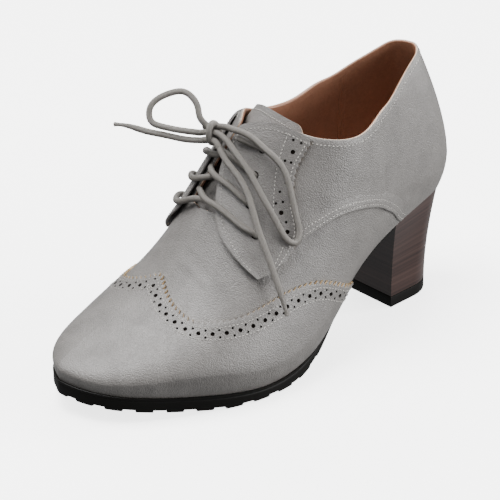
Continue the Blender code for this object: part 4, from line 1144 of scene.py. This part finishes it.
quads = grid_faces(ring_count, len(p))


def bridge(ring, flipped):
    """Quads straight across the sole between the outer and inner run of one ring."""
    a, b = half[:-1] + ring * len(p), flip[:-1] + ring * len(p)
    strip = np.stack([a, a + 1, b - 1, b], -1)
    return strip[:, ::-1] if flipped else strip


start = np.arange(ring_count - 1) * len(p)
ends = np.stack([start, start + len(p), start + 2 * len(p) - 1, start + len(p) - 1], -1)
faces = np.concatenate([quads, bridge(0, True), bridge(ring_count - 1, False), ends])
points, faces, _ = merged(points, faces)
piece("outsole_rubber", points, faces, [rubber], "outsole", smooth=35)


# Heel: a flared block wrapped in thin stacked layers, stained dark and polished, with a black
# rubber lift nailed under its small foot.
HEEL_P, HEEL_INSET, HEEL_HALF, HEEL_BACK, HEEL_MID, HEEL_BREAST = 0.310, -0.6, 17.4, 14.6, 33.0, 51.0
HEEL_FLARE, HEEL_YAW, LIFT_THICK, GAP = 1.9, 4.0, 6.5, 0.3
SIDE_SHARE = 0.55           # part of the outline's half that the foot's arc takes


def heel_ring(h, inset=0.0):
    """Outline at height share h from foot to seat: the foot's arc and straight sides blend into the
    seat's outline as a power of h."""
    u = np.linspace(0, 1, 61)
    arc = np.clip(u / SIDE_SHARE, 0, 1) * np.pi / 2
    foot_x = (HEEL_HALF - inset) * np.sin(arc)
    foot_s = np.where(u < SIDE_SHARE, HEEL_MID - (HEEL_MID - HEEL_BACK - inset) * np.cos(arc),
                      HEEL_MID + (u - SIDE_SHARE) / (1 - SIDE_SHARE) * (HEEL_BREAST - inset - HEEL_MID))
    flare, yaw = h ** HEEL_FLARE, np.radians(HEEL_YAW)
    loops = []
    for side in (1.0, -1.0):
        seat = feather_edge(u * HEEL_P, side, HEEL_INSET - inset)
        x, s = side * foot_x, foot_s - HEEL_MID
        x, s = x * np.cos(yaw) + s * np.sin(yaw), HEEL_MID + s * np.cos(yaw) - x * np.sin(yaw)
        xs = np.stack([x, s], -1) * (1 - flare) + seat[:, :2] * flare
        z = LIFT_THICK + GAP + (seat[:, 2] - LIFT_THICK - 2 * GAP) * h
        loops.append(np.column_stack([xs, z]))
    return np.concatenate([loops[0][::-1], loops[1][1:]])


def loft(rings):
    """Points and quads through closed rings, with caps bridged from side to side.  A ring with an odd
    count gets one more point halfway along its last edge."""
    if rings.shape[1] % 2:
        rings = np.concatenate([rings, (rings[:, -1:] + rings[:, :1]) / 2], 1)
    rows, cols, _ = rings.shape
    half, flip = np.arange(cols // 2), cols - 1 - np.arange(cols // 2)
    cap = np.stack([half, half + 1, flip - 1, flip], -1)
    cap = cap[cap[:, 1] < cap[:, 2]]
    return rings.reshape(-1, 3), np.concatenate([grid_faces(rows, cols, round_cols=True), cap[:, ::-1],
                                                 cap + (rows - 1) * cols])


stack, tree, shader, where = new_material("stacked_heel", (0.065, 0.040, 0.034), 0.3)
stretch = node(tree, "ShaderNodeMapping", {"Scale": (6.0, 6.0, 620.0), "Rotation": (0.02, 0.035, 0.0)},
               Vector=where["Object"])
layers = node(tree, "ShaderNodeTexNoise", {"Scale": 1.0, "Detail": 4.0, "Roughness": 0.65},
              Vector=stretch.outputs["Vector"])
ramp = node(tree, "ShaderNodeValToRGB", None, Fac=layers.outputs["Fac"])
for stop, place, colour in zip(ramp.color_ramp.elements, (0.30, 0.72),
                               ((0.013, 0.006, 0.005, 1), (0.052, 0.029, 0.024, 1))):
    stop.position, stop.color = place, colour
tree.links.new(ramp.outputs["Color"], shader.inputs["Base Color"])
raise_surface(tree, shader, layers.outputs["Fac"], 0.12, 0.0002)
shader.inputs["Specular IOR Level"].default_value = 0.3
shader.inputs["Coat Weight"].default_value = 0.3
shader.inputs["Coat Roughness"].default_value = 0.2

heights = np.concatenate([[0.0, 0.003], np.linspace(0.02, 0.98, 34), [1.0]])
insets = np.concatenate([[0.35, 0.0], np.zeros(35)])
points, faces = loft(np.array([world(heel_ring(h, inset)) for h, inset in zip(heights, insets)]))
piece("heel_stacked", points, faces, [stack], "heel_block", smooth=35)
levels = [(0.0, 0.5), (0.4, 0.05), (1.0, 0.0), (LIFT_THICK - 0.6, 0.0), (LIFT_THICK - 0.15, 0.15),
          (LIFT_THICK, 0.45)]
rings = np.array([heel_ring(0.0, inset) for _, inset in levels])
rings[..., 2] = np.array([z for z, _ in levels])[:, None]
points, faces = loft(world(rings))
piece("heel_lift_rubber", points, faces, [rubber], "heel_lift", smooth=35)
